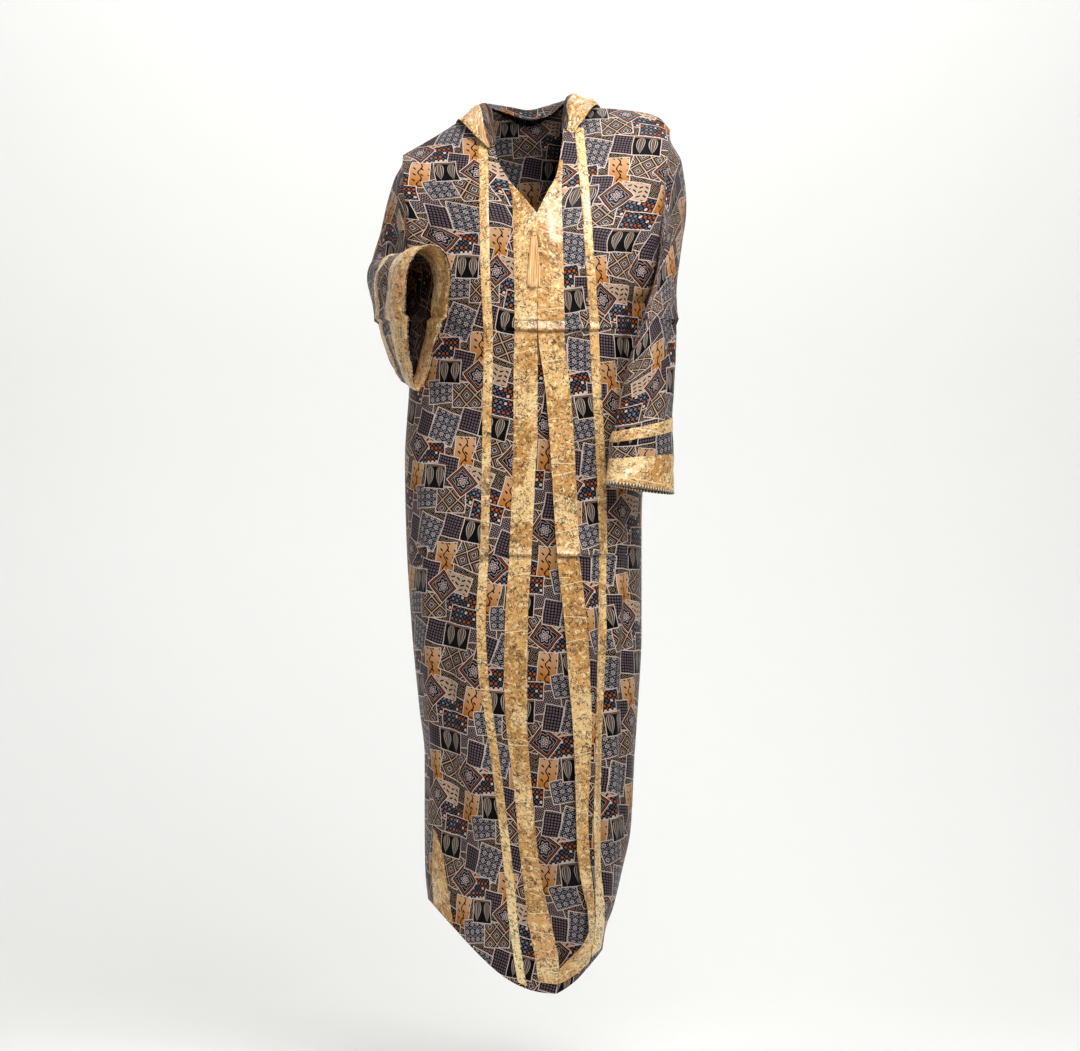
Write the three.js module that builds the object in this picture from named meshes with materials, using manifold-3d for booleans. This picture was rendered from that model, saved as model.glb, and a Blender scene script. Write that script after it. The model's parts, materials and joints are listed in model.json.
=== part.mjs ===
// A hooded kaftan dress in printed satin, standing in the hollow form it has when worn:
// an open V neck, a hood laid back over the shoulders, one arm raised and one arm down.
// Millimetres. X is to the wearer's left, -Y is the front, +Z is up.
// The origin lies between the shoulders, where the wearer carries the dress.
import * as THREE from "three";
import { mergeVertices } from "three/addons/utils/BufferGeometryUtils.js";
import Module from "manifold-3d";

const wasm = await Module();
wasm.setup();

// ---- driving dimensions ----
const cloth = { wall: 1.6, seam: 0.4, roundness: 2.3 };
const trim = { wall: 0.9, lift: 0.3, tapeWidth: 14 };
const armhole = { halfDepth: 70 };
const creases = { heights: [-331, -686], step: 3.2, fadeUp: 24, fadeDown: 9 };
const underlay = { top: -338, setBack: 4, overlap: 13, deepest: 13 };
const shoulderRows = 4; // rows of a front over which it takes up the line of the shoulder
const mesh = { rowStep: 52, sideColumns: 6, backColumns: 20, backRows: 24, ringColumns: 20, ringStep: 0.55 };

// The standing outline at each height: x of the right and the left side.
const outline = [
  { z: -1400, right: -150, left: 98 },
  { z: -1303, right: -160, left: 106 },
  { z: -1271, right: -163, left: 111 },
  { z: -1240, right: -166, left: 122 },
  { z: -1178, right: -172, left: 137 },
  { z: -1115, right: -173, left: 150 },
  { z: -1000, right: -173, left: 156 },
  { z: -928, right: -181, left: 161 },
  { z: -803, right: -193, left: 167 },
  { z: -647, right: -202, left: 167 },
  { z: -540, right: -204, left: 171 },
  { z: -420, right: -197, left: 179 },
  { z: -290, right: -193, left: 184 },
  { z: -211, right: -197, left: 182 },
  { z: -110, right: -203, left: 192 },
  { z: -22, right: -207, left: 211 },
  { z: 30, right: -207, left: 211 },
];

// The shoulder line from the right tip over the neck to the left tip.
const shoulder = [
  { x: -207, z: -60 },
  { x: -172, z: -40 },
  { x: -145, z: -24 },
  { x: -125, z: -11 },
  { x: -101, z: 1 },
  { x: -70, z: 9 },
  { x: 50, z: 16 },
  { x: 101, z: 14 },
  { x: 168, z: 7 },
  { x: 195, z: -2 },
  { x: 211, z: -20 },
];

// How far the front and the back stand off the shoulder line, by the drop below it.
const depth = [
  { drop: 0, front: 0, back: 0 },
  { drop: 8, front: 18, back: 16 },
  { drop: 25, front: 40, back: 38 },
  { drop: 55, front: 62, back: 62 },
  { drop: 95, front: 86, back: 84 },
  { drop: 150, front: 110, back: 102 },
  { drop: 220, front: 128, back: 112 },
  { drop: 300, front: 134, back: 108 },
  { drop: 420, front: 130, back: 99 },
  { drop: 560, front: 131, back: 106 },
  { drop: 700, front: 135, back: 117 },
  { drop: 900, front: 132, back: 121 },
  { drop: 1100, front: 126, back: 118 },
  { drop: 1250, front: 118, back: 108 },
  { drop: 1400, front: 110, back: 100 },
];

// Rows of each front from hem to shoulder: the height at the side, the inner edge, the places of
// the narrow tape's middle and the wide band's outer edge, and how far the row hangs between.
const rightFront = [
  { side: -1224, x: 33, z: -1366, tape: -18, band: 6, sag: 30 },
  { side: -1212, x: 35, z: -1351, tape: -22, band: 5, sag: 28 },
  { side: -1188, x: 37, z: -1320, tape: -27, band: 1, sag: 26 },
  { side: -1132, x: 27, z: -1264, tape: -34, band: -10, sag: 26 },
  { side: -1088, x: 13, z: -1207, tape: -39, band: -17, sag: 18 },
  { side: -1048, x: 5, z: -1153, tape: -45, band: -24, sag: 11 },
  { side: -990, x: -3, z: -1069, tape: -55, band: -31, sag: 5 },
  { side: -905, x: -12, z: -948, tape: -71, band: -45, sag: 0 },
  { side: -845, x: -12, z: -874, tape: -80, band: -48, sag: 0 },
  { side: -768, x: -11, z: -783, tape: -83, band: -46, sag: 0 },
  { side: -690, x: -6, z: -694, tape: -79, band: -40, sag: 0 },
  { side: -569, x: 0, z: -569, tape: -76, band: -35, sag: 0 },
  { side: -493, x: 4, z: -493, tape: -75, band: -33, sag: 0 },
  { side: -425, x: 4, z: -420, tape: -73, band: -33, sag: 0 },
  { side: -368, x: 3.5, z: -359, tape: -72, band: -32, sag: 0 },
  { side: -345, x: 3, z: -331, tape: -72, band: -31, sag: 0 },
  { side: -296, x: 3, z: -240, tape: -76, band: -32, sag: 0 },
  { side: -232, x: 2.6, z: -156, tape: -78, band: -34, sag: 0 },
  { side: -190, x: -19, z: -130, tape: -79, band: -35, sag: 0 },
  { side: -158, x: -37, z: -109, tape: -79, band: -42, sag: 0 },
  { side: -118, x: -59, z: -69, tape: -80, band: -63, sag: 0 },
  { side: -88, x: -64, z: -40, tape: -83, band: -69, sag: 0 },
  { side: -68, x: -69, z: -8, tape: -88, band: -75, sag: 0 },
  { side: -60, x: -70, z: 9, tape: -90, band: -77, sag: 0 },
];
const leftFront = [
  { side: -1303, x: 33.4, z: -1366, tape: 91, band: 81, sag: 7 },
  { side: -1299, x: 35.4, z: -1351, tape: 93, band: 84, sag: 6 },
  { side: -1295, x: 37.6, z: -1331, tape: 95, band: 86, sag: 4 },
  { side: -1289, x: 56, z: -1310, tape: 96, band: 87, sag: 2 },
  { side: -1281, x: 73, z: -1292, tape: 98, band: 90, sag: 0 },
  { side: -1266, x: 83, z: -1269, tape: 100, band: 92, sag: 0 },
  { side: -1236, x: 80, z: -1236, tape: 101, band: 92, sag: 0 },
  { side: -1180, x: 69, z: -1179, tape: 101, band: 87, sag: 0 },
  { side: -1142, x: 64, z: -1142, tape: 100, band: 84, sag: 0 },
  { side: -1083, x: 63, z: -1083, tape: 99, band: 83, sag: 0 },
  { side: -1022, x: 61, z: -1022, tape: 100, band: 86, sag: 0 },
  { side: -948, x: 58, z: -948, tape: 102, band: 88, sag: 0 },
  { side: -874, x: 52, z: -874, tape: 105, band: 85, sag: 0 },
  { side: -783, x: 45, z: -783, tape: 108, band: 80, sag: 0 },
  { side: -694, x: 35, z: -694, tape: 108, band: 70, sag: 0 },
  { side: -569, x: 27, z: -569, tape: 104, band: 64, sag: 0 },
  { side: -493, x: 22, z: -493, tape: 100, band: 60, sag: 0 },
  { side: -425, x: 15, z: -420, tape: 96, band: 53, sag: 0 },
  { side: -368, x: 6, z: -359, tape: 93, band: 46, sag: 0 },
  { side: -345, x: 4, z: -331, tape: 92, band: 45, sag: 0 },
  { side: -290, x: 3.6, z: -240, tape: 88, band: 44, sag: 0 },
  { side: -225, x: 3.2, z: -156, tape: 82, band: 42, sag: 0 },
  { side: -180, x: 18, z: -126, tape: 79, band: 41, sag: 0 },
  { side: -140, x: 33, z: -97, tape: 76, band: 42, sag: 0 },
  { side: -105, x: 39, z: -66, tape: 73, band: 44, sag: 0 },
  { side: -62, x: 44, z: -25, tape: 69, band: 50, sag: 0 },
  { side: -33, x: 48, z: 3, tape: 67, band: 54, sag: 0 },
  { side: -20, x: 50, z: 16, tape: 66, band: 56, sag: 0 },
];
// Rows of each front between which its trims run.
const trims = {
  right: { bandFrom: 1, bandTo: 18.9, tapeFrom: 0.3, tapeTo: 21 },
  left: { bandFrom: 1, bandTo: 23.8, tapeFrom: 1.6, tapeTo: 25.2 },
};

// The slit facing that shows at the foot of the right side, from its point down to the hem.
const slitFacing = [
  { row: 0.2, outer: -158, inner: -127 },
  { row: 1.2, outer: -158, inner: -129 },
  { row: 2.2, outer: -159, inner: -134 },
  { row: 3.0, outer: -159, inner: -142 },
  { row: 3.7, outer: -158, inner: -153 },
];
const slitLift = 0.9;

// Troughs (negative) and rolls (positive) in the fronts and the back.
const frontFolds = [
  { x1: 112, z1: -560, x2: 108, z2: -1250, width: 10, height: -9 },
  { x1: 128, z1: -520, x2: 124, z2: -1180, width: 12, height: 6 },
  { x1: 142, z1: -640, x2: 134, z2: -1120, width: 9, height: -6 },
  { x1: 172, z1: -150, x2: 150, z2: -420, width: 14, height: -9 },
  { x1: -190, z1: -130, x2: -150, z2: -300, width: 15, height: -10 },
  { x1: -150, z1: -170, x2: -120, z2: -330, width: 14, height: 5 },
  { x1: -176, z1: -520, x2: -150, z2: -1080, width: 13, height: 6 },
  { x1: -150, z1: -640, x2: -118, z2: -1180, width: 12, height: -5 },
  { x1: -110, z1: -820, x2: -72, z2: -1290, width: 14, height: 6 },
  { x1: -135, z1: -1120, x2: -40, z2: -1320, width: 13, height: -7 },
  { x1: 24, z1: -170, x2: 34, z2: -330, width: 14, height: 2 },
  { x1: 40, z1: -900, x2: 60, z2: -1290, width: 16, height: 5 },
];
const backFolds = [
  { x1: -120, z1: -330, x2: -104, z2: -1290, width: 20, height: 12 },
  { x1: -84, z1: -420, x2: -76, z2: -1330, width: 16, height: -11 },
  { x1: -44, z1: -360, x2: -46, z2: -1340, width: 19, height: 13 },
  { x1: -4, z1: -300, x2: -16, z2: -1350, width: 15, height: -10 },
  { x1: 36, z1: -380, x2: 16, z2: -1350, width: 20, height: 12 },
  { x1: 78, z1: -340, x2: 48, z2: -1340, width: 16, height: -11 },
  { x1: 118, z1: -430, x2: 78, z2: -1310, width: 18, height: 10 },
];

// The back's hem at the sides and the middle, and the back neck.
const backEdge = { hemRight: -1224, hemLeft: -1303, hemSag: 58, neckHalf: 60, neckMiddle: -10, neckDepth: 58, neckFade: 55 };

// Rings of each sleeve from armhole to cuff. top and low are the ends of the ring's long axis, wide
// is half its other axis, pinch narrows it towards low and turn is the direction of its front side.
const rightSleeve = [
  { top: [-207, 0, -60], low: [-193, 0, -296], wide: 70, pinch: 0, turn: -90 },
  { top: [-221, 4, -100], low: [-204, -6, -322], wide: 68, pinch: 0.1, turn: -84 },
  { top: [-232, 8, -146], low: [-211, -16, -348], wide: 61, pinch: 0.4, turn: -72 },
  { top: [-240, 6, -190], low: [-214, -36, -374], wide: 53, pinch: 0.8, turn: -58 },
  { top: [-242, -8, -220], low: [-213, -62, -394], wide: 50, pinch: 1.1, turn: -44 },
  { top: [-234, -50, -226], low: [-210, -98, -408], wide: 51, pinch: 1.1, turn: -32 },
  { top: [-216, -104, -221], low: [-204, -138, -418], wide: 54, pinch: 1.1, turn: -20 },
  { top: [-195, -150, -216], low: [-194, -172, -426], wide: 56, pinch: 1.1, turn: -13 },
  { top: [-178, -186, -213], low: [-187, -202, -431], wide: 56, pinch: 1.1, turn: -7 },
  { top: [-166, -208, -212], low: [-182, -217, -433], wide: 54, pinch: 1.15, turn: -5 },
  { top: [-157, -222, -211], low: [-178, -228, -434], wide: 52, pinch: 1.2, turn: -4 },
];
const leftSleeve = [
  { top: [211, 0, -20], low: [184, 0, -290], wide: 70, pinch: 0, turn: -90 },
  { top: [229, 2, -69], low: [195, -36, -316], wide: 70, pinch: 0, turn: -98 },
  { top: [234, 0, -135], low: [178, -82, -334], wide: 60, pinch: 0, turn: -104 },
  { top: [229, -10, -205], low: [154, -118, -360], wide: 46, pinch: 0, turn: -96 },
  { top: [221, -36, -275], low: [146, -134, -384], wide: 37, pinch: 0, turn: -84 },
  { top: [219, -54, -345], low: [140, -141, -412], wide: 32, pinch: 0, turn: -74 },
  { top: [214, -66, -420], low: [132, -147, -452], wide: 32, pinch: 0, turn: -66 },
  { top: [210, -75, -490], low: [121, -152, -510], wide: 33, pinch: 0, turn: -62 },
  { top: [210, -81, -545], low: [116, -157, -548], wide: 34, pinch: 0, turn: -60 },
  { top: [212, -85, -592], low: [111, -161, -575], wide: 36, pinch: 0, turn: -58 },
];
// Bands round each sleeve, as ring numbers, and creases across it.
const sleeveBands = {
  right: { tape: [5.75, 6.25], cuff: [7.15, 9.85] },
  left: { tape: [6.72, 7.05], cuff: [7.68, 8.92] },
};
const sleeveFolds = {
  right: [
    { ring1: 1.2, angle1: -60, ring2: 4.2, angle2: 20, width: 0.5, height: -7 },
    { ring1: 2.2, angle1: -110, ring2: 5.0, angle2: -20, width: 0.45, height: 5 },
    { ring1: 0.8, angle1: 40, ring2: 3.2, angle2: 120, width: 0.5, height: -6 },
    { ring1: 3.8, angle1: 60, ring2: 6.4, angle2: 130, width: 0.45, height: -5 },
  ],
  left: [
    { ring1: 0.8, angle1: 70, ring2: 4.4, angle2: 150, width: 0.5, height: -6 },
    { ring1: 1.8, angle1: 30, ring2: 5.2, angle2: 110, width: 0.45, height: 5 },
    { ring1: 3.0, angle1: -10, ring2: 5.8, angle2: 70, width: 0.4, height: -5 },
    { ring1: 5.2, angle1: 10, ring2: 7.4, angle2: 120, width: 0.35, height: 4 },
  ],
};

// Stations of the hood from its right front corner round the back neck to its left one: the neck
// seam, the ridge it rolls over, the rim of the face opening, and how far it hangs behind.
const hood = [
  { seam: [-61, -58, -47], ridge: [-64, -64, -45], rim: [-73, -69, -54], hang: 0 },
  { seam: [-66, -24, -10], ridge: [-75, -40, -6], rim: [-98, -60, -28], hang: 0 },
  { seam: [-67, 2, 13], ridge: [-79, 0, 19], rim: [-120, -16, -6], hang: 0 },
  { seam: [-58, 26, 12], ridge: [-74, 42, 22], rim: [-127, 50, -16], hang: 70 },
  { seam: [-38, 44, 6], ridge: [-48, 72, 20], rim: [-94, 134, -24], hang: 205 },
  { seam: [-8, 54, -2], ridge: [-12, 84, 16], rim: [-14, 168, -30], hang: 270 },
  { seam: [24, 46, 6], ridge: [30, 74, 24], rim: [70, 136, -14], hang: 205 },
  { seam: [40, 28, 18], ridge: [56, 44, 32], rim: [104, 52, 10], hang: 70 },
  { seam: [46, 2, 22], ridge: [58, 2, 37], rim: [97, -8, 18], hang: 0 },
  { seam: [44, -22, 0], ridge: [54, -36, 12], rim: [78, -52, -4], hang: 0 },
  { seam: [41, -46, -25], ridge: [47, -54, -21], rim: [57, -60, -32], hang: 0 },
];
const hoodShape = {
  columns: 24, rows: 9, facingRows: 3, facingWidth: 42, facingShare: 0.76,
  wall: 1.4, bandFrom: 6, bandTo: 18, narrowing: 0.22, offBack: 9,
};

const tassel = {
  x: -1, seatX: 1.5, seatZ: -163, headTop: -178, headLength: 13, headRadius: 4.2, cordRadius: 1.1,
  strandsAcross: 12, layers: 3, length: 80, rootHalf: 3.2, tipHalf: 9.5, rootDepth: 1.2, tipDepth: 2.6,
  strandRoot: 0.26, strandTip: 0.55, standOff: 5.8, tipOff: 5.5, seatGap: 0.4,
};

const colours = {
  print: 0x4a4148, gold: 0xd9ad5f, tassel: 0xdcae62,
};

// ---- small helpers ----
const clamp = (v, low, high) => Math.min(high, Math.max(low, v));
const mix = (a, b, t) => a + (b - a) * t;
const smooth = (t) => t * t * (3 - 2 * t);
const radians = (degrees) => (degrees * Math.PI) / 180;

// A curve through a table's rows with no overshoot: f(key, column).
function curveOf(keys, values) {
  const n = keys.length;
  const slopes = [];
  for (let i = 0; i < n - 1; i++) slopes.push((values[i + 1] - values[i]) / (keys[i + 1] - keys[i]));
  const tangents = values.map((_, i) => {
    if (i === 0) return slopes[0];
    if (i === n - 1) return slopes[n - 2];
    const [a, b] = [slopes[i - 1], slopes[i]];
    return a * b <= 0 ? 0 : (2 * a * b) / (a + b);
  });
  return (key) => {
    const k = clamp(key, keys[0], keys[n - 1]);
    let i = 0;
    while (i < n - 2 && k > keys[i + 1]) i++;
    const h = keys[i + 1] - keys[i];
    const t = (k - keys[i]) / h;
    const t2 = t * t;
    const t3 = t2 * t;
    return (
      (2 * t3 - 3 * t2 + 1) * values[i] +
      (t3 - 2 * t2 + t) * h * tangents[i] +
      (3 * t2 - 2 * t3) * values[i + 1] +
      (t3 - t2) * h * tangents[i + 1]
    );
  };
}
function tableCurves(rows, key) {
  const keys = key ? rows.map((r) => r[key]) : rows.map((_, i) => i);
  const made = {};
  for (const column of Object.keys(rows[0])) {
    if (column === key) continue;
    if (Array.isArray(rows[0][column])) {
      const parts = [0, 1, 2].map((a) => curveOf(keys, rows.map((r) => r[column][a])));
      made[column] = (k) => new THREE.Vector3(parts[0](k), parts[1](k), parts[2](k));
    } else {
      made[column] = curveOf(keys, rows.map((r) => r[column]));
    }
  }
  return made;
}

// ---- the body's form ----
const sides = tableCurves(outline, "z");
const shoulderAt = tableCurves(shoulder, "x").z;
const depthAt = tableCurves(depth, "drop");
const tips = { right: shoulder[0].z, left: shoulder[shoulder.length - 1].z };
const shoulderTips = { right: shoulder[0].x, left: shoulder[shoulder.length - 1].x };
const underarms = { right: -296, left: -290 };

// The sides run straight along the armholes, so that each armhole lies in a plane.
function sideX(side, z) {
  if (z <= underarms[side]) return sides[side](z);
  const rise = (z - underarms[side]) / (tips[side] - underarms[side]);
  return mix(sides[side](underarms[side]), shoulderTips[side], Math.min(rise, 1));
}
const middleX = (z) => (sideX("right", z) + sideX("left", z)) / 2;
const halfWidth = (z) => (sideX("left", z) - sideX("right", z)) / 2;

// Half the armhole's depth, front or back, at height z.
function armholeEdge(side, z) {
  const middle = (tips[side] + underarms[side]) / 2;
  const half = (tips[side] - underarms[side]) / 2;
  const t = clamp((z - middle) / half, -1, 1);
  return z < underarms[side] ? 0 : armhole.halfDepth * Math.sqrt(1 - t * t);
}

function foldHeight(folds, x, z) {
  let sum = 0;
  for (const f of folds) {
    const [dx, dz] = [f.x2 - f.x1, f.z2 - f.z1];
    const long = Math.hypot(dx, dz);
    const t = ((x - f.x1) * dx + (z - f.z1) * dz) / (long * long);
    if (t <= 0 || t >= 1) continue;
    const off = ((x - f.x1) * dz - (z - f.z1) * dx) / long / f.width;
    sum += f.height * Math.exp(-off * off) * smooth(Math.min(1, t / 0.25)) * smooth(Math.min(1, (1 - t) / 0.12));
  }
  return sum;
}
// The packing creases: the cloth above each rolls out over the cloth below.
function creaseHeight(z) {
  let sum = 0;
  for (const h of creases.heights) {
    const d = z - h;
    sum += d > 0 ? creases.step * Math.exp(-d / creases.fadeUp) : -0.4 * creases.step * Math.exp(d / creases.fadeDown);
  }
  return sum;
}

// A point of the front (face -1) or the back (face 1) over (x, z), pushed in by inset.
function bodyPoint(face, x, z, inset = 0) {
  const [c, a] = [middleX(z), halfWidth(z)];
  const share = clamp(Math.abs(x - c) / a, 0, 1);
  const side = x < c ? "right" : "left";
  const drop = Math.max(0, shoulderAt(x) - z);
  const edge = armholeEdge(side, z);
  const full = face < 0 ? depthAt.front(drop) : depthAt.back(drop);
  const swell = Math.pow(1 - Math.pow(share, cloth.roundness), 1 / cloth.roundness);
  let y = edge + (full - edge) * swell + cloth.seam / 2;
  if (face > 0) {
    const across = clamp(Math.abs(x - middleX(0) + 10) / backEdge.neckHalf, 0, 1);
    y += backEdge.neckDepth * Math.sqrt(1 - across * across) * Math.exp(-drop / backEdge.neckFade);
  }
  const folds = face < 0 ? frontFolds : backFolds;
  const calm = smooth(clamp((1 - share) / 0.22, 0, 1));
  const lift = foldHeight(folds, x, z) * calm + creaseHeight(z) * calm - inset;
  const out = new THREE.Vector2((x - c) / (a * a), (face * Math.max(y, 20)) / (full * full + 400)).normalize();
  return new THREE.Vector3(x + out.x * lift, face * y + out.y * lift, z);
}

// ---- sheets of cloth as solids ----
// grid[row][column]; closed joins the last column to the first; keepOut lists edge axes that the
// edge normals stay square to, so that neighbours meet along a plane.
function normalsOf(grid, { closed = false, edges = {} } = {}) {
  const rows = grid.length;
  const columns = grid[0].length;
  const normals = grid.map((row, j) =>
    row.map((_, i) => {
      const left = closed ? (i + columns - 1) % columns : Math.max(0, i - 1);
      const right = closed ? (i + 1) % columns : Math.min(columns - 1, i + 1);
      const across = grid[j][right].clone().sub(grid[j][left]);
      const up = grid[Math.min(rows - 1, j + 1)][i].clone().sub(grid[Math.max(0, j - 1)][i]);
      return across.cross(up).normalize();
    }),
  );
  const flatten = (n, axis) => n.addScaledVector(axis, -n.dot(axis)).normalize();
  for (let j = 0; j < rows; j++) {
    if (edges.first?.(j)) flatten(normals[j][0], edges.first(j));
    if (edges.last?.(j)) flatten(normals[j][columns - 1], edges.last(j));
  }
  for (let i = 0; i < columns; i++) {
    if (edges.bottom) flatten(normals[0][i], edges.bottom);
    if (edges.top) flatten(normals[rows - 1][i], edges.top);
  }
  return normals;
}

// The closed solid between two offsets of a sheet along its normals.
function sheetSolid(grid, normals, outer, inner, closed = false) {
  const rows = grid.length;
  const columns = grid[0].length;
  const positions = [];
  for (const offset of [outer, inner])
    for (let j = 0; j < rows; j++)
      for (let i = 0; i < columns; i++) {
        const p = grid[j][i].clone().addScaledVector(normals[j][i], offset);
        positions.push(p.x, p.y, p.z);
      }
  const at = (layer, j, i) => layer * rows * columns + j * columns + (i % columns);
  const faces = [];
  const quad = (a, b, c, d) => faces.push(a, b, c, a, c, d);
  const spans = closed ? columns : columns - 1;
  for (let j = 0; j < rows - 1; j++)
    for (let i = 0; i < spans; i++) {
      quad(at(0, j, i), at(0, j, i + 1), at(0, j + 1, i + 1), at(0, j + 1, i));
      // The same diagonal as the outer face, seen from the other side.
      faces.push(at(1, j, i), at(1, j + 1, i + 1), at(1, j, i + 1), at(1, j, i), at(1, j + 1, i), at(1, j + 1, i + 1));
    }
  for (let i = 0; i < spans; i++) {
    quad(at(0, 0, i), at(1, 0, i), at(1, 0, i + 1), at(0, 0, i + 1));
    quad(at(0, rows - 1, i), at(0, rows - 1, i + 1), at(1, rows - 1, i + 1), at(1, rows - 1, i));
  }
  if (!closed)
    for (let j = 0; j < rows - 1; j++) {
      quad(at(0, j, 0), at(0, j + 1, 0), at(1, j + 1, 0), at(1, j, 0));
      quad(at(0, j, columns - 1), at(1, j, columns - 1), at(1, j + 1, columns - 1), at(0, j + 1, columns - 1));
    }
  const geometry = new THREE.BufferGeometry();
  geometry.setAttribute("position", new THREE.Float32BufferAttribute(positions, 3));
  geometry.setIndex(faces);
  return geometry;
}

const part = (grid, rowFrom, rowTo, columnFrom, columnTo) =>
  grid.slice(rowFrom, rowTo + 1).map((row) => row.slice(columnFrom, columnTo + 1));

// ---- the fronts ----
// Row stations along a front's inner edge, close enough together and with pairs at the creases.
function rowStations(rows, extra) {
  const stations = [];
  for (let i = 0; i < rows.length - 1; i++) {
    const long = Math.hypot(rows[i + 1].x - rows[i].x, rows[i + 1].z - rows[i].z);
    const parts = Math.max(1, Math.round(long / mesh.rowStep));
    for (let k = 0; k < parts; k++) stations.push(i + k / parts);
  }
  stations.push(rows.length - 1, ...extra);
  const sorted = [...stations].sort((a, b) => a - b);
  return sorted.filter((s, i) => i === 0 || s - sorted[i - 1] > 0.02);
}
// The row number at which the inner edge reaches height z.
function rowAtHeight(rows, z) {
  const i = rows.findIndex((r, k) => rows[k + 1] && r.z <= z && rows[k + 1].z > z);
  return i + (z - rows[i].z) / (rows[i + 1].z - rows[i].z);
}

// The height of a front's row v at x, and where the row starts at the side.
function rowHeight(side, rows, v) {
  const at = tableCurves(rows);
  const [zSide, xIn, zIn, sag] = [at.side(v), at.x(v), at.z(v), at.sag(v)];
  const xSide = sideX(side, zSide);
  const last = rows.length - 1;
  const nearTop = smooth(clamp(1 - (last - v) / shoulderRows, 0, 1));
  const rowZ = (x) => {
    const f = clamp((x - xSide) / (xIn - xSide), 0, 1);
    const straight = mix(rows[last].side, rows[last].z, f);
    const rise = shoulderAt(mix(shoulderTips[side], rows[last].x, f)) - straight;
    return mix(zSide, zIn, f) - sag * Math.sin(Math.PI * Math.pow(f, 1.35)) + nearTop * rise;
  };
  return { xSide, zSide, xIn, rowZ };
}

function frontGrid(side, rows, stations) {
  const at = tableCurves(rows);
  const sign = side === "right" ? -1 : 1;
  const n = cloth.roundness;
  return stations.map((v) => {
    const { xSide, zSide, xIn, rowZ } = rowHeight(side, rows, v);
    const tapeOuter = at.tape(v) + (sign * trim.tapeWidth) / 2;
    const tapeInner = at.tape(v) - (sign * trim.tapeWidth) / 2;
    const xs = [];
    const zTape = rowZ(tapeOuter);
    const shareTape = clamp((sign * (tapeOuter - middleX(zTape))) / halfWidth(zTape), 0.02, 0.97);
    const turnTape = Math.acos(Math.pow(shareTape, n / 2));
    for (let i = 0; i < mesh.sideColumns; i++) {
      const share = Math.pow(Math.cos((turnTape * i) / mesh.sideColumns), 2 / n);
      let z = zSide;
      let x = xSide;
      for (let k = 0; k < 5; k++) {
        x = middleX(z) + sign * halfWidth(z) * share;
        z = rowZ(x);
      }
      xs.push(x);
    }
    const bandOuter = at.band(v);
    const edgeX = xIn + sign * (cloth.seam / 2);
    xs.push(tapeOuter, tapeInner, mix(tapeInner, bandOuter, 0.5), bandOuter, mix(bandOuter, edgeX, 0.5), edgeX);
    return xs.map((x, i) => (i === 0 ? bodyPoint(-1, xSide, zSide) : bodyPoint(-1, x, rowZ(x))));
  });
}

const axisX = new THREE.Vector3(1, 0, 0);
const axisY = new THREE.Vector3(0, 1, 0);
const axisZ = new THREE.Vector3(0, 0, 1);

function makeFront(side, rows) {
  const limits = trims[side];
  const pairs = creases.heights.flatMap((h) => [rowAtHeight(rows, h + 2), rowAtHeight(rows, h - 2)]);
  const stations = rowStations(rows, [...pairs, limits.bandTo, limits.tapeFrom, limits.tapeTo]);
  const rowOf = (v) => stations.findIndex((s) => s >= v - 0.021);
  let grid = frontGrid(side, rows, stations);
  const underarm = underarms[side];
  const edgeAxis = (j) => (grid[j][side === "right" ? 0 : grid[j].length - 1].z > underarm ? axisX : axisY);
  if (side === "left") grid = grid.map((row) => row.slice().reverse());
  const inner = () => axisX;
  const edges =
    side === "right"
      ? { first: edgeAxis, last: inner, top: axisY }
      : { first: inner, last: edgeAxis, top: axisY };
  const normals = normalsOf(grid, { edges });
  return { grid, normals, stations, rowOf, limits };
}

const right = makeFront("right", rightFront);
const left = makeFront("left", leftFront);
const columnsOf = (front) => front.grid[0].length - 1;

// A strip that lies on a front: its points, moved out.
function stripOn(front, rowFrom, rowTo, columnFrom, columnTo) {
  const grid = part(front.grid, rowFrom, rowTo, columnFrom, columnTo);
  const normals = part(front.normals, rowFrom, rowTo, columnFrom, columnTo);
  return sheetSolid(grid, normals, trim.lift + trim.wall, trim.lift);
}
function frontPieces(front, side) {
  const last = columnsOf(front);
  const columns = (outer, inner) => (side === "right" ? [outer, inner] : [last - inner, last - outer]);
  const { bandFrom, bandTo, tapeFrom, tapeTo } = front.limits;
  return {
    panel: sheetSolid(front.grid, front.normals, 0, -cloth.wall),
    band: stripOn(front, front.rowOf(bandFrom), front.rowOf(bandTo), ...columns(last - 2, last)),
    tape: stripOn(front, front.rowOf(tapeFrom), front.rowOf(tapeTo), ...columns(last - 5, last - 4)),
  };
}

// The facing that shows at the foot of the right side: a long wedge beside the side seam.
function makeSlitFacing() {
  const at = tableCurves(slitFacing);
  const columns = 3;
  const rows = 12;
  const grid = [];
  for (let j = 0; j <= rows; j++) {
    const k = ((slitFacing.length - 1) * j) / rows;
    const rowZ = rowHeight("right", rightFront, at.row(k)).rowZ;
    const xs = Array.from({ length: columns + 1 }, (_, i) => mix(at.outer(k), at.inner(k), i / columns));
    grid.push(xs.map((x) => bodyPoint(-1, x, rowZ(x))));
  }
  return sheetSolid(grid, normalsOf(grid), slitLift + trim.wall, slitLift);
}

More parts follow.
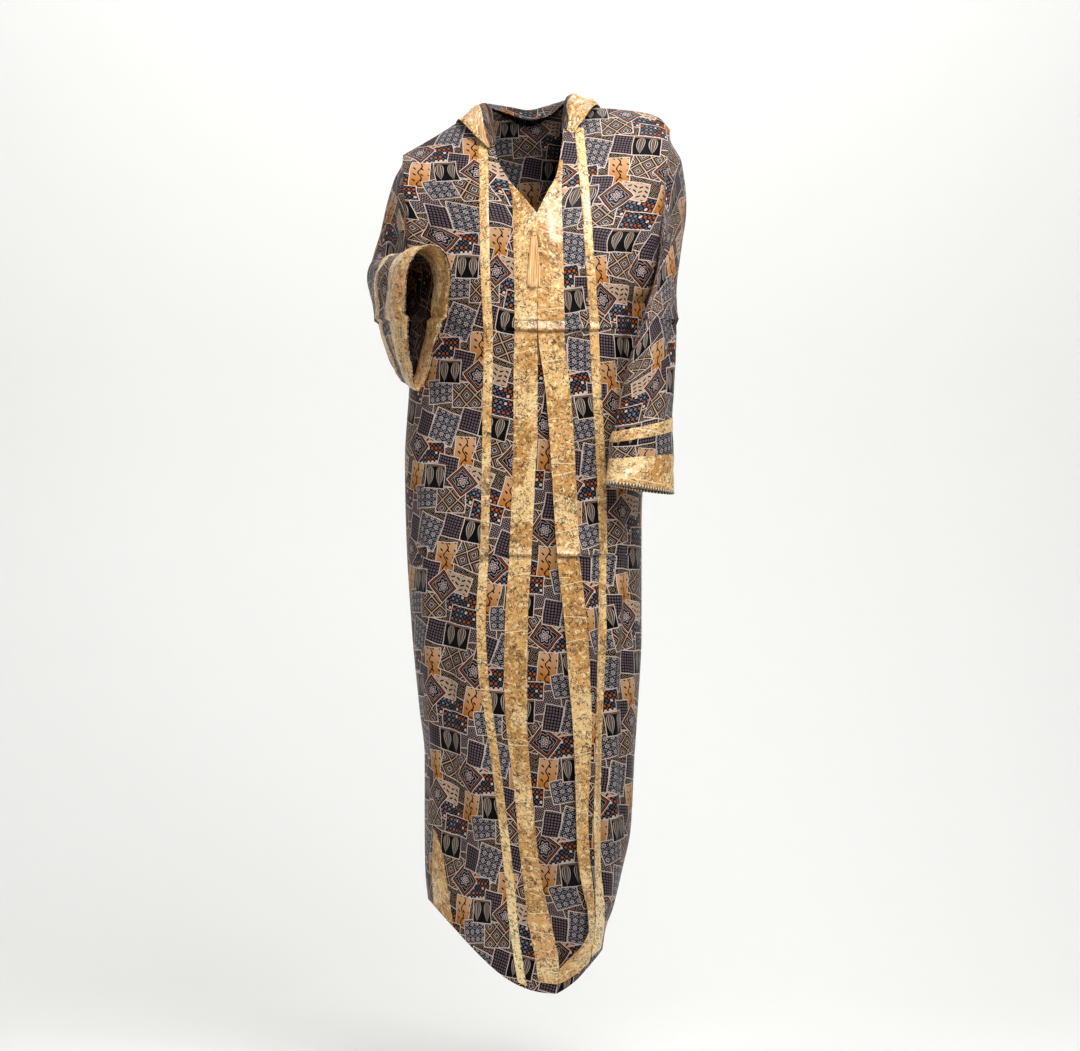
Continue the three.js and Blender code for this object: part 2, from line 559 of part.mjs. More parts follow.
// The inverted pleat's underlay, set back behind the fronts' inner edges.
function makeUnderlay() {
  const edge = { right: tableCurves(rightFront), left: tableCurves(leftFront) };
  const xAt = (side, rows, z) => edge[side].x(rowAtHeight(rows, z));
  const heights = [];
  for (let z = -1334; z < underlay.top - 60; z += 50) heights.push(z);
  heights.push(underlay.top - 30, underlay.top);
  const columns = 5;
  const grid = heights.map((z) => {
    const from = xAt("right", rightFront, z) - underlay.overlap;
    const to = xAt("left", leftFront, z) + underlay.overlap;
    return Array.from({ length: columns + 1 }, (_, i) => {
      const t = i / columns;
      const x = mix(from, to, t);
      const deep = smooth(clamp((underlay.top - z) / 500, 0, 1)) * underlay.deepest;
      const back = underlay.setBack + deep * Math.sin(Math.PI * t) ** 1.5;
      const plain = bodyPoint(-1, x, z);
      return new THREE.Vector3(x, plain.y + creaseHeight(z) + back, z);
    });
  });
  return sheetSolid(grid, normalsOf(grid), 0, -cloth.wall);
}

// ---- the back ----
function makeBack() {
  const { backColumns: columns, backRows: rows } = mesh;
  const n = cloth.roundness;
  const grid = [];
  for (let j = 0; j <= rows; j++) {
    const v = j / rows;
    const row = [];
    for (let i = 0; i <= columns; i++) {
      const turn = (Math.PI * i) / columns;
      const cosine = Math.cos(turn);
      const share = -Math.sign(cosine) * Math.pow(Math.abs(cosine), 2 / n);
      let z = mix(-1250, 0, v);
      let x = 0;
      for (let k = 0; k < 8; k++) {
        x = middleX(z) + halfWidth(z) * share;
        const across = (x - sides.right(backEdge.hemRight)) / (sides.left(backEdge.hemLeft) - sides.right(backEdge.hemRight));
        const hem = mix(backEdge.hemRight, backEdge.hemLeft, clamp(across, 0, 1));
        const low = hem - backEdge.hemSag * Math.sin(Math.PI * clamp(across, 0, 1));
        const neck = clamp(Math.abs(x + 10) / backEdge.neckHalf, 0, 1);
        const high = mix(backEdge.neckMiddle, shoulderAt(x), smooth(neck));
        z = mix(low, high, v);
      }
      row.push(bodyPoint(1, x, z));
    }
    grid.push(row);
  }
  for (const row of grid) {
    row[0].y = Math.max(row[0].y, cloth.seam / 2);
    row[columns].y = Math.max(row[columns].y, cloth.seam / 2);
  }
  // Columns run from the left side to the right, so that the faces turn outwards.
  const turned = grid.map((row) => row.slice().reverse());
  const axis = (side, i) => (j) => (turned[j][i].z > underarms[side] ? axisX : axisY);
  const normals = normalsOf(turned, { edges: { first: axis("left", 0), last: axis("right", columns), top: axisY } });
  return sheetSolid(turned, normals, 0, -cloth.wall);
}

// ---- the sleeves ----
function ringPoint(at, folds, side, v, angle) {
  const [top, low] = [at.top(v), at.low(v)];
  const middle = top.clone().add(low).multiplyScalar(0.5);
  const along = top.clone().sub(low).multiplyScalar(0.5);
  const turn = radians(at.turn(v));
  const front = new THREE.Vector3(Math.cos(turn), Math.sin(turn), 0);
  const cosine = Math.cos(angle);
  const wide = at.wide(v) * Math.exp((-at.pinch(v) * (1 - cosine)) / 2) * Math.sin(angle);
  const point = middle.addScaledVector(along, cosine).addScaledVector(front, wide);
  // The first ring follows the armhole of the body.
  const blend = smooth(clamp(1 - v, 0, 1));
  const edgeX = sideX(side, point.z) + (side === "left" ? 1 : -1) * cloth.seam;
  point.x = mix(point.x, edgeX, blend);
  let lift = 0;
  const degrees = ((THREE.MathUtils.radToDeg(angle) + 540) % 360) - 180;
  for (const f of folds) {
    const [dv, da] = [f.ring2 - f.ring1, (f.angle2 - f.angle1) / 40];
    const long = dv * dv + da * da;
    const t = ((v - f.ring1) * dv + ((degrees - f.angle1) / 40) * da) / long;
    if (t <= 0 || t >= 1) continue;
    const off = ((v - f.ring1) * da - ((degrees - f.angle1) / 40) * dv) / Math.sqrt(long) / f.width;
    lift += f.height * Math.exp(-off * off) * Math.sin(Math.PI * t) * smooth(clamp(v, 0, 1));
  }
  const outward = along.clone().normalize().multiplyScalar(cosine).addScaledVector(front, Math.sin(angle)).normalize();
  return point.addScaledVector(outward, lift);
}
function makeSleeve(side, rings) {
  const at = tableCurves(rings);
  const bands = sleeveBands[side];
  const last = rings.length - 1;
  const marks = [...bands.tape, ...bands.cuff];
  const stations = [];
  const parts = Math.round(last / mesh.ringStep);
  for (let k = 0; k <= parts; k++) {
    const v = (last * k) / parts;
    if (k === 0 || k === parts || !marks.some((m) => Math.abs(m - v) < mesh.ringStep / 2)) stations.push(v);
  }
  stations.push(...marks);
  stations.sort((a, b) => a - b);
  const columns = mesh.ringColumns;
  const way = side === "right" ? -1 : 1;
  const grid = stations.map((v) =>
    Array.from({ length: columns }, (_, i) => ringPoint(at, sleeveFolds[side], side, v, (way * 2 * Math.PI * i) / columns)),
  );
  const normals = normalsOf(grid, { closed: true, edges: { bottom: axisX } });
  const strip = ([from, to]) => {
    const [a, b] = [stations.indexOf(from), stations.indexOf(to)];
    return sheetSolid(grid.slice(a, b + 1), normals.slice(a, b + 1), trim.lift + trim.wall, trim.lift, true);
  };
  const [a, b] = bands.cuff.map((v) => stations.indexOf(v));
  const inside = -cloth.wall - trim.lift;
  return {
    tube: sheetSolid(grid, normals, 0, -cloth.wall, true),
    tape: strip(bands.tape),
    cuff: strip(bands.cuff),
    facing: sheetSolid(grid.slice(a, b + 1), normals.slice(a, b + 1), inside, inside - trim.wall, true),
  };
}

// ---- the hood ----
function makeHood() {
  const at = tableCurves(hood);
  const { columns, rows, facingRows, facingWidth, facingShare, narrowing, offBack } = hoodShape;
  const grid = [];
  for (let j = 0; j <= rows + facingRows; j++) grid.push([]);
  for (let i = 0; i <= columns; i++) {
    const s = ((hood.length - 1) * i) / columns;
    const [seam, ridge, rim, hang] = [at.seam(s), at.ridge(s), at.rim(s), at.hang(s)];
    const full = clamp(hang / 270, 0, 1);
    const out = rim.clone().sub(ridge).setZ(0);
    const below = (share, drop) => {
      const p = ridge.clone().addScaledVector(out, share).add(new THREE.Vector3(0, 0, -drop * hang));
      p.x = mix(p.x, -12, narrowing * full * drop);
      p.z = Math.min(p.z, mix(ridge.z, rim.z, share));
      if (hang > 1 && p.z < shoulderAt(p.x)) p.y = Math.max(p.y, bodyPoint(1, p.x, p.z).y + offBack);
      return p;
    };
    const [inner, low, outer] = [below(0.4, 0.5), below(0.66, 1), below(0.95, 0.5)];
    const path = new THREE.CatmullRomCurve3([seam, ridge, inner, low, outer, rim], false, "centripetal");
    const plain = 1 - Math.min(facingWidth / path.getLength(), facingShare);
    for (let j = 0; j <= rows; j++) grid[j].push(path.getPointAt((plain * j) / rows));
    for (let j = 1; j <= facingRows; j++) grid[rows + j].push(path.getPointAt(mix(plain, 1, j / facingRows)));
  }
  // Columns are turned round so that the outer face is the hood's outside, and the pouch is inside.
  const turned = grid.map((row) => row.slice().reverse());
  const normals = normalsOf(turned);
  const { wall, bandFrom, bandTo } = hoodShape;
  const cut = (g, a, b) => part(g, rows, rows + facingRows, a, b);
  return {
    hood: sheetSolid(turned, normals, 0, -wall),
    facing: sheetSolid(
      cut(turned, 0, columns), cut(normals, 0, columns), -wall - trim.lift, -wall - trim.lift - trim.wall,
    ),
    band: sheetSolid(
      cut(turned, bandFrom, bandTo), cut(normals, bandFrom, bandTo), trim.lift + trim.wall, trim.lift,
    ),
  };
}

// ---- the tassel ----
function toManifold(geometry) {
  const plain = geometry.clone();
  for (const name of Object.keys(plain.attributes)) if (name !== "position") plain.deleteAttribute(name);
  const merged = mergeVertices(plain, 1e-4);
  return new wasm.Manifold(
    new wasm.Mesh({
      numProp: 3,
      vertProperties: new Float32Array(merged.attributes.position.array),
      triVerts: new Uint32Array(merged.index.array),
    }),
  );
}
function fromManifold(solid) {
  const made = solid.getMesh();
  const geometry = new THREE.BufferGeometry();
  const positions = new Float32Array(made.numVert * 3);
  for (let i = 0; i < made.numVert; i++)
    for (let k = 0; k < 3; k++) positions[i * 3 + k] = made.vertProperties[i * made.numProp + k];
  geometry.setAttribute("position", new THREE.BufferAttribute(positions, 3));
  geometry.setIndex(Array.from(made.triVerts));
  return geometry;
}
function makeTassel() {
  const t = tassel;
  const neck = t.headTop - t.headLength;
  const y = bodyPoint(-1, t.x, neck).y - t.standOff;
  const tipY = bodyPoint(-1, t.x, neck - t.length).y - t.tipOff;
  const profile = [
    [0, t.headTop + 2], [t.cordRadius, t.headTop + 1.5], [t.headRadius * 0.8, t.headTop - 2], [t.headRadius, t.headTop - 5],
    [t.headRadius * 0.78, neck + 4], [t.headRadius * 0.95, neck], [0, neck],
  ].map(([r, z]) => new THREE.Vector2(r, z));
  const head = new THREE.LatheGeometry(profile.reverse(), 12).rotateX(Math.PI / 2);
  head.translate(t.x, y, 0);
  // The cord runs from the head up to the point of the neck, where it is sewn on.
  const bandFace = (trim.lift + trim.wall) * 1.05;
  const seatY = bodyPoint(-1, t.seatX, t.seatZ).y - bandFace - t.seatGap - t.cordRadius;
  const cordTop = new THREE.Vector3(t.seatX, seatY, t.seatZ);
  const cordFoot = new THREE.Vector3(t.x, y, t.headTop - 3);
  const cordWay = cordTop.clone().sub(cordFoot);
  const cord = new THREE.CylinderGeometry(t.cordRadius, t.cordRadius, cordWay.length(), 6);
  cord.applyQuaternion(new THREE.Quaternion().setFromUnitVectors(axisY, cordWay.clone().normalize()));
  cord.translate(...cordFoot.clone().addScaledVector(cordWay, 0.5));
  let solid = toManifold(head).add(toManifold(cord));
  for (let layer = 0; layer < t.layers; layer++)
    for (let i = 0; i < t.strandsAcross; i++) {
      const u = ((i + 0.5 * (layer % 2)) / (t.strandsAcross - 0.5)) * 2 - 1;
      const w = layer / (t.layers - 1) * 2 - 1;
      const round = Math.sqrt(1 - 0.75 * w * w);
      const root = new THREE.Vector3(t.x + u * t.rootHalf * round, y + w * t.rootDepth, neck + 1);
      const tip = new THREE.Vector3(t.x + u * t.tipHalf * (0.8 + 0.2 * round), tipY + w * t.tipDepth, neck - t.length + 3 * u * u);
      const strand = new THREE.CylinderGeometry(t.strandRoot, t.strandTip, root.distanceTo(tip), 3, 1);
      strand.rotateY(i * 1.3).translate(0, root.distanceTo(tip) / 2, 0);
      const way = root.clone().sub(tip).normalize();
      strand.applyQuaternion(new THREE.Quaternion().setFromUnitVectors(axisY, way)).translate(tip.x, tip.y, tip.z);
      solid = solid.add(toManifold(strand));
    }
  return fromManifold(solid);
}

// ---- the dress ----
const printed = new THREE.MeshStandardMaterial({ color: colours.print, roughness: 0.45, metalness: 0 });
const gold = new THREE.MeshStandardMaterial({ color: colours.gold, roughness: 0.38, metalness: 0 });
const silk = new THREE.MeshStandardMaterial({ color: colours.tassel, roughness: 0.4, metalness: 0 });

const kaftan = new THREE.Group();
function add(name, geometry, material) {
  const made = new THREE.Mesh(geometry, material);
  made.name = name;
  kaftan.add(made);
}

const rightPieces = frontPieces(right, "right");
const leftPieces = frontPieces(left, "left");
add("front_right", rightPieces.panel, printed);
add("front_left", leftPieces.panel, printed);
add("back", makeBack(), printed);
add("pleat_underlay", makeUnderlay(), printed);
add("wide_band_right", rightPieces.band, gold);
add("wide_band_left", leftPieces.band, gold);
add("narrow_tape_right", rightPieces.tape, gold);
add("narrow_tape_left", leftPieces.tape, gold);
add("slit_facing_right", makeSlitFacing(), gold);

for (const [side, rings] of [["right", rightSleeve], ["left", leftSleeve]]) {
  const sleeve = makeSleeve(side, rings);
  add("sleeve_" + side, sleeve.tube, printed);
  add("sleeve_tape_" + side, sleeve.tape, gold);
  add("cuff_band_" + side, sleeve.cuff, gold);
  add("cuff_facing_" + side, sleeve.facing, gold);
}

const hoodPieces = makeHood();
add("hood", hoodPieces.hood, printed);
add("hood_facing", hoodPieces.facing, gold);
add("hood_band", hoodPieces.band, gold);
add("tassel", makeTassel(), silk);

export default kaftan;
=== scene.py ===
import json
import math

import bpy
import numpy as np
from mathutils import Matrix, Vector

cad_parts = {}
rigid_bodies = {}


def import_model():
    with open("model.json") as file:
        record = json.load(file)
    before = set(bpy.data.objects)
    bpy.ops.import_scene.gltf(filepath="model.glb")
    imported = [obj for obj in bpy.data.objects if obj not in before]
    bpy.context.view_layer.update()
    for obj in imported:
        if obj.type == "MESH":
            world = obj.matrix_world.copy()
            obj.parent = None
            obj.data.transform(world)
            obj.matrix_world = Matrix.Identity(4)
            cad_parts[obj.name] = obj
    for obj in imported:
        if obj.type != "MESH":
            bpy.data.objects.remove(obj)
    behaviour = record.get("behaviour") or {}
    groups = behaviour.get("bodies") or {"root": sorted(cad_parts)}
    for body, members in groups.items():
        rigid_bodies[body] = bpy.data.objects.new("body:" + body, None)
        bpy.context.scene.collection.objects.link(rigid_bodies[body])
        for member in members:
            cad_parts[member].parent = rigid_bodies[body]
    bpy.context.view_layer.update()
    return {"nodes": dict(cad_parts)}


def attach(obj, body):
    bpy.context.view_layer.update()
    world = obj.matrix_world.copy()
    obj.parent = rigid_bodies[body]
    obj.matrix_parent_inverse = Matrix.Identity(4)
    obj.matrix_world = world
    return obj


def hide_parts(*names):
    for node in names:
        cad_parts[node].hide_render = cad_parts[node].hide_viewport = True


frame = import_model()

print("frame loaded:", len(frame["nodes"]), "nodes")


def mix(a, b, t):
    return a + (b - a) * t


def smooth(t):
    t = np.clip(t, 0, 1)
    return t * t * (3 - 2 * t)


def curveThrough(keys, values):
    # a curve through the rows of a table with no overshoot
    keys, values = np.array(keys, float), np.array(values, float)
    step = np.diff(keys)
    slope = np.diff(values) / step
    tangent = np.concatenate([[slope[0]], np.zeros(len(keys) - 2), [slope[-1]]])
    for i in range(1, len(keys) - 1):
        a, b = slope[i - 1], slope[i]
        tangent[i] = 0 if a * b <= 0 else 2 * a * b / (a + b)

    def at(key):
        key = np.clip(np.asarray(key, float), keys[0], keys[-1])
        i = np.clip(np.searchsorted(keys, key, side="right") - 1, 0, len(keys) - 2)
        t = (key - keys[i]) / step[i]
        t2, t3 = t * t, t * t * t
        return ((2 * t3 - 3 * t2 + 1) * values[i] + (t3 - 2 * t2 + t) * step[i] * tangent[i]
                + (3 * t2 - 2 * t3) * values[i + 1] + (t3 - t2) * step[i] * tangent[i + 1])

    return at


def tableCurves(names, rows, key=None):
    names = names.split()
    columns = {name: [row[i] for row in rows] for i, name in enumerate(names)}
    keys = columns[key] if key else range(len(rows))
    return {name: curveThrough(keys, values) for name, values in columns.items()}


def softNoise(seed, u, v):
    # even noise from -1 to 1 on a square lattice of one unit
    table = np.random.default_rng(seed).uniform(-1, 1, (64, 64))
    i, j = np.floor(u).astype(int), np.floor(v).astype(int)
    s, t = smooth(u - i), smooth(v - j)
    low = mix(table[i % 64, j % 64], table[(i + 1) % 64, j % 64], s)
    high = mix(table[i % 64, (j + 1) % 64], table[(i + 1) % 64, (j + 1) % 64], s)
    return mix(low, high, t)


def lengthsAlong(points):
    # running length along the first axis of an array of points
    steps = np.linalg.norm(np.diff(points, axis=0), axis=-1)
    return np.concatenate([np.zeros_like(steps[:1]), np.cumsum(steps, axis=0)])


def lengthsAcross(grid):
    return lengthsAlong(grid.transpose(1, 0, 2)).T


def unit(vectors):
    return vectors / np.linalg.norm(vectors, axis=-1, keepdims=True)


def evenly(path, count):
    # the same path with points at equal distances
    run = lengthsAlong(path)
    even = np.linspace(0, run[-1], count)
    return np.stack([np.interp(even, run, path[:, k]) for k in range(path.shape[1])], axis=-1)


# The body's form: how round it is, its armholes and its neck.
bodyShape = {
    "roundness": 2.3, "overlap": 0.6, "armholeHalfDepth": 70,
    "underarmRight": -296, "underarmLeft": -290,
    "neckHalf": 60, "neckDepth": 58, "neckFade": 55,
}
outline = tableCurves("z right left", [
    (-1400, -150, 98), (-1303, -160, 106), (-1271, -163, 111), (-1240, -166, 122), (-1178, -172, 137),
    (-1115, -173, 150), (-1000, -173, 156), (-928, -181, 161), (-803, -193, 167), (-647, -202, 167),
    (-540, -204, 171), (-420, -197, 179), (-290, -193, 184), (-211, -197, 182), (-110, -203, 192),
    (-22, -207, 211), (30, -207, 211),
], key="z")
shoulderRows = [
    (-207, -60), (-172, -40), (-145, -24), (-125, -11), (-101, 1), (-70, 9),
    (50, 16), (101, 14), (168, 7), (195, -2), (211, -20),
]
shoulderAt = tableCurves("x z", shoulderRows, key="x")["z"]
tips = {"right": shoulderRows[0], "left": shoulderRows[-1]}
depthAt = tableCurves("drop front back", [
    (0, 0, 0), (8, 18, 16), (25, 40, 38), (55, 62, 62), (95, 86, 84), (150, 110, 102), (220, 128, 112),
    (300, 134, 108), (420, 130, 99), (560, 131, 106), (700, 135, 117), (900, 132, 121), (1100, 126, 118),
    (1250, 118, 108), (1400, 110, 100),
], key="drop")

# Packing creases that are still in the cloth: height, how far the cloth above stands out over the
# cloth below, how far up it fades and how far down the hollow under it does.
packCreases = {
    "rows": [(-322, 2.2, 6, 3), (-336, 7.0, 10, 5), (-686, 6.0, 12, 6), (-1031, 1.8, 16, 7)],
    "wander": 2.4, "middle": 30, "reach": 74, "beside": 0.24, "soft": 1.3,
}

# Troughs and rolls: x and z of both ends, half width, height.
foldTables = {
    "front": [
        (112, -560, 108, -1250, 10, -9), (128, -520, 124, -1180, 12, 6), (142, -640, 134, -1120, 9, -6),
        (172, -150, 150, -420, 14, -9), (-190, -130, -150, -300, 15, -10), (-150, -170, -120, -330, 14, 5),
        (-176, -520, -150, -1080, 13, 6), (-150, -640, -118, -1180, 12, -5), (-110, -820, -72, -1290, 14, 6),
        (-135, -1120, -40, -1320, 13, -7), (24, -170, 34, -330, 14, 2), (40, -900, 60, -1290, 16, 5),
    ],
    "back": [
        (-120, -330, -104, -1290, 20, 12), (-84, -420, -76, -1330, 16, -11), (-44, -360, -46, -1340, 19, 13),
        (-4, -300, -16, -1350, 15, -10), (36, -380, 16, -1350, 20, 12), (78, -340, 48, -1340, 16, -11),
        (118, -430, 78, -1310, 18, 10),
    ],
    "frontSmall": [
        (-196, -330, -150, -420, 7, -3), (-192, -372, -120, -520, 8, -2.6), (-186, -300, -100, -350, 7, -2.4),
        (-120, -60, -172, -150, 8, -3), (-150, -60, -188, -170, 7, -3.4), (-96, -120, -150, -230, 9, -2),
        (120, -40, 168, -200, 8, -3), (150, -30, 186, -130, 7, -3.2), (98, -140, 160, -290, 8, -2.4),
        (176, -300, 120, -430, 7, -3), (180, -350, 140, -560, 8, -2.8), (-60, -420, -96, -700, 10, -1.8),
        (-100, -520, -130, -900, 9, -2), (-60, -760, -90, -1180, 9, -2), (-24, -900, -20, -1240, 8, -1.8),
        (88, -700, 96, -1100, 7, 2), (70, -960, 74, -1240, 6, -2), (146, -900, 126, -1240, 7, -3),
        (-150, -960, -60, -1240, 10, -2.4), (-140, -1180, 10, -1340, 9, -2.6),
    ],
}
drape = {"wide": 46, "tall": 290, "height": 2.6, "wideSmall": 17, "tallSmall": 84, "heightSmall": 0.9,
         "crumple": 0.45, "backShare": 1.6}  # how wide, tall and high the soft rolls of the cloth are


def sideX(side, z):
    # straight along the armhole, so that the armhole lies in a plane
    under = bodyShape["underarm" + side.capitalize()]
    tipX, tipZ = tips[side]
    rise = np.clip((z - under) / (tipZ - under), 0, 1)
    return np.where(z <= under, outline[side](z), mix(float(outline[side](under)), tipX, rise))


def armholeEdge(side, z):
    under, tipZ = bodyShape["underarm" + side.capitalize()], tips[side][1]
    t = np.clip((z - (tipZ + under) / 2) / ((tipZ - under) / 2), -1, 1)
    return np.where(z < under, 0, bodyShape["armholeHalfDepth"] * np.sqrt(1 - t * t))


def foldHeight(folds, x, z):
    total = 0
    for x1, z1, x2, z2, width, height in folds:
        dx, dz = x2 - x1, z2 - z1
        long = math.hypot(dx, dz)
        t = ((x - x1) * dx + (z - z1) * dz) / long**2
        wander = 0.35 * softNoise(3, t * 4 + x1, t * 0 + z1)
        off = ((x - x1) * dz - (z - z1) * dx) / long / width + wander
        total = total + height * np.exp(-off * off) * smooth(t / 0.25) * smooth((1 - t) / 0.12)
    return total


def creaseHeight(x, z):
    total = 0
    # deepest over the bands in the middle, slight on the print beside them
    aside = np.abs(x - packCreases["middle"]) / packCreases["reach"]
    depth = mix(1, packCreases["beside"], smooth((aside - 0.8) / 0.5))
    for height, step, up, down in packCreases["rows"]:
        d = z - height - packCreases["wander"] * softNoise(5, x / 42, x * 0 + height)
        above = smooth(0.5 + d / packCreases["soft"] / 2)
        lip = above * np.exp(-np.maximum(d, 0) / up) - 0.4 * (1 - above) * np.exp(-np.maximum(-d, 0) / down)
        total = total + step * depth * lip
    return total


def bodySurface(face, x, z):
    # points of the front (face -1) or the back (face 1) over x and z
    x, z = np.broadcast_arrays(np.asarray(x, float), np.asarray(z, float))
    rightX, leftX = sideX("right", z), sideX("left", z)
    c, a = (rightX + leftX) / 2, (leftX - rightX) / 2
    share = np.clip(np.abs(x - c) / a, 0, 1)
    drop = np.maximum(0, shoulderAt(x) - z)
    edge = np.where(x < c, armholeEdge("right", z), armholeEdge("left", z))
    full = depthAt["front" if face < 0 else "back"](drop)
    n = bodyShape["roundness"]
    y = edge + (full - edge) * (1 - share**n) ** (1 / n) - bodyShape["overlap"] / 2
    if face > 0:
        middle = (float(sideX("right", 0)) + float(sideX("left", 0))) / 2
        across = np.clip(np.abs(x - middle + 10) / bodyShape["neckHalf"], 0, 1)
        y = y + bodyShape["neckDepth"] * np.sqrt(1 - across**2) * np.exp(-drop / bodyShape["neckFade"])
    calm = smooth((1 - share) / 0.22)
    lift = foldHeight(foldTables["front" if face < 0 else "back"], x, z) + creaseHeight(x, z)
    if face < 0:
        lift = lift + foldHeight(foldTables["frontSmall"], x, z)
    rolls = drape["height"] * softNoise(11 + face, x / drape["wide"], z / drape["tall"])
    rolls = rolls + drape["heightSmall"] * softNoise(15 + face, x / drape["wideSmall"], z / drape["tallSmall"])
    rolls = rolls + drape["crumple"] * softNoise(19 + face, x / 9 + z / 60, z / 16)
    lift = lift + rolls * smooth(drop / 60) * (drape["backShare"] if face > 0 else 1)
    lift = lift * calm
    normal = np.stack([(x - c) / (a * a), face * np.maximum(y, 20) / (full * full + 400)], axis=-1)
    normal = unit(normal)
    return np.stack([x + normal[..., 0] * lift, face * y + normal[..., 1] * lift, z], axis=-1)


# how much cloth lies between the shoulder and a drop below it
dropSteps = np.linspace(0, 1400, 1401)
clothDown = lengthsAlong(np.stack([depthAt["front"](dropSteps), dropSteps], axis=-1))


def clothHeight(x, z):
    return shoulderAt(x) - np.interp(shoulderAt(x) - z, dropSteps, clothDown)


def normalsOf(grid, closed):
    if closed:
        across = np.roll(grid, -1, axis=1) - np.roll(grid, 1, axis=1)
    else:
        across = np.gradient(grid, axis=1)
    normal = np.cross(across, np.gradient(grid, axis=0))
    return normal / np.maximum(np.linalg.norm(normal, axis=-1, keepdims=True), 1e-9)


cloth = {"wall": 0.8, "sharpAngle": 60}


def meshObject(name, vertices, faces, uvs, slots, materials):
    mesh = bpy.data.meshes.new(name)
    mesh.from_pydata((vertices * 0.001).tolist(), [], faces)
    layer = mesh.uv_layers.new(name="clothMap")
    layer.data.foreach_set("uv", (np.asarray(uvs, float).reshape(-1) * 0.001).tolist())
    mesh.polygons.foreach_set("material_index", slots)
    for material in materials:
        mesh.materials.append(material)
    mesh.shade_smooth()
    mesh.set_sharp_from_angle(angle=math.radians(cloth["sharpAngle"]))
    made = bpy.data.objects.new(name, mesh)
    bpy.context.scene.collection.objects.link(made)
    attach(made, "root")
    return made


def makeCloth(name, grid, uv, materials, outer=0.0, inner=-cloth["wall"], closed=False, back=1):
    # a closed thin shell between two offsets of a grid; uv is in millimetres of cloth
    normal = normalsOf(grid, closed)
    rows, columns = grid.shape[:2]
    outer, inner = np.broadcast_to(outer, (rows, columns)), np.broadcast_to(inner, (rows, columns))
    layers = [grid + normal * offset[..., None] for offset in (outer, inner)]
    vertices = np.concatenate([layer.reshape(-1, 3) for layer in layers])
    spans = columns if closed else columns - 1
    j, i = np.meshgrid(np.arange(rows - 1), np.arange(spans), indexing="ij")
    j, i = j.ravel(), i.ravel()

    def point(layer, j, i):
        return layer * rows * columns + j * columns + i % columns

    corners = [(j, i), (j, i + 1), (j + 1, i + 1), (j + 1, i)]
    sides = list(enumerate((corners, corners[::-1])))
    faces = [np.stack([point(layer, *c) for c in order], axis=-1) for layer, order in sides]
    maps = [np.stack([uv[c] for c in order], axis=1) for _, order in sides]
    slots = [np.zeros(len(j), int), np.full(len(j), back)]
    k, r = np.arange(spans), np.arange(rows - 1)
    rims = [((k * 0, k + 1), (k * 0, k)), ((k * 0 + rows - 1, k), (k * 0 + rows - 1, k + 1))]
    if not closed:
        rims += [((r, r * 0), (r + 1, r * 0)), ((r + 1, r * 0 + columns - 1), (r, r * 0 + columns - 1))]
    for a, b in rims:
        faces.append(np.stack([point(0, *a), point(0, *b), point(1, *b), point(1, *a)], axis=-1))
        maps.append(np.stack([uv[a], uv[b], uv[b], uv[a]], axis=1))
        slots.append(np.zeros(len(a[0]), int))
    faces, maps, slots = np.concatenate(faces), np.concatenate(maps), np.concatenate(slots)
    return meshObject(name, vertices, faces.tolist(), maps, slots.tolist(), materials)


flatSizes = {}


def declareSheet(made, grid, closed=False, halves=1):
    # the flat cut is what the grid measures: its longest row, its longest column and its area
    # a piece that is cut as two halves is laid head to tail, in half the width
    ring = np.concatenate([grid, grid[:, :1]], axis=1) if closed else grid
    width = lengthsAcross(ring)[:, -1].max() / halves
    length = lengthsAlong(ring)[-1].max()
    a, b = ring[1:, 1:] - ring[:-1, :-1], ring[1:, :-1] - ring[:-1, 1:]
    area = 0.5 * np.linalg.norm(np.cross(a, b), axis=-1).sum()
    flatSizes[made.name] = [round(width), round(length), round(area / 1e4) / 100]


def linear(hexColour):
    channels = [int(hexColour[i:i + 2], 16) / 255 for i in (1, 3, 5)]
    return tuple(c / 12.92 if c <= 0.04045 else ((c + 0.055) / 1.055) ** 2.4 for c in channels) + (1.0,)


def addNode(tree, kind, *inputs, out=0, **settings):
    # adds a node, sets it up and links or fills its inputs in order; a dictionary gives them by number
    made = tree.nodes.new("ShaderNode" + kind)
    for key, value in settings.items():
        if key == "stops":
            ramp = made.color_ramp
            ramp.interpolation = "CONSTANT"
            while len(ramp.elements) < len(value):
                ramp.elements.new(1.0)
            for element, (place, colour) in zip(ramp.elements, value):
                element.position, element.color = place, linear(colour)
        else:
            setattr(made, key, value)
    given = inputs[0] if len(inputs) == 1 and isinstance(inputs[0], dict) else dict(enumerate(inputs))
    for place, value in given.items():
        if isinstance(value, bpy.types.NodeSocket):
            tree.links.new(value, made.inputs[place])
        elif value is not None:
            made.inputs[place].default_value = value
    return made.outputs[out]


def calc(tree, operation, *inputs, **settings):
    return addNode(tree, "Math", *inputs, operation=operation, **settings)


def vectorCalc(tree, operation, *inputs, **settings):
    return addNode(tree, "VectorMath", *inputs, operation=operation, **settings)


def axesOf(tree, place):
    parts = tree.nodes.new("ShaderNodeSeparateXYZ")
    tree.links.new(place, parts.inputs[0])
    return parts.outputs


def spun(tree, place, degrees):
    return addNode(tree, "VectorRotate", {0: place, 3: math.radians(degrees)}, rotation_type="Z_AXIS")


def ranged(tree, value, low, high, first, last):
    return addNode(tree, "MapRange", {0: value, 1: low, 2: high, 3: first, 4: last})


def blended(tree, share, under, over):
    return addNode(tree, "Mix", {0: share, 6: under, 7: over}, out=2, data_type="RGBA")


def clothPlace(tree):
    # where a point lies on its cloth, in millimetres
    uv = addNode(tree, "UVMap", uv_map="clothMap")
    return vectorCalc(tree, "SCALE", {0: uv, 3: 1000.0})


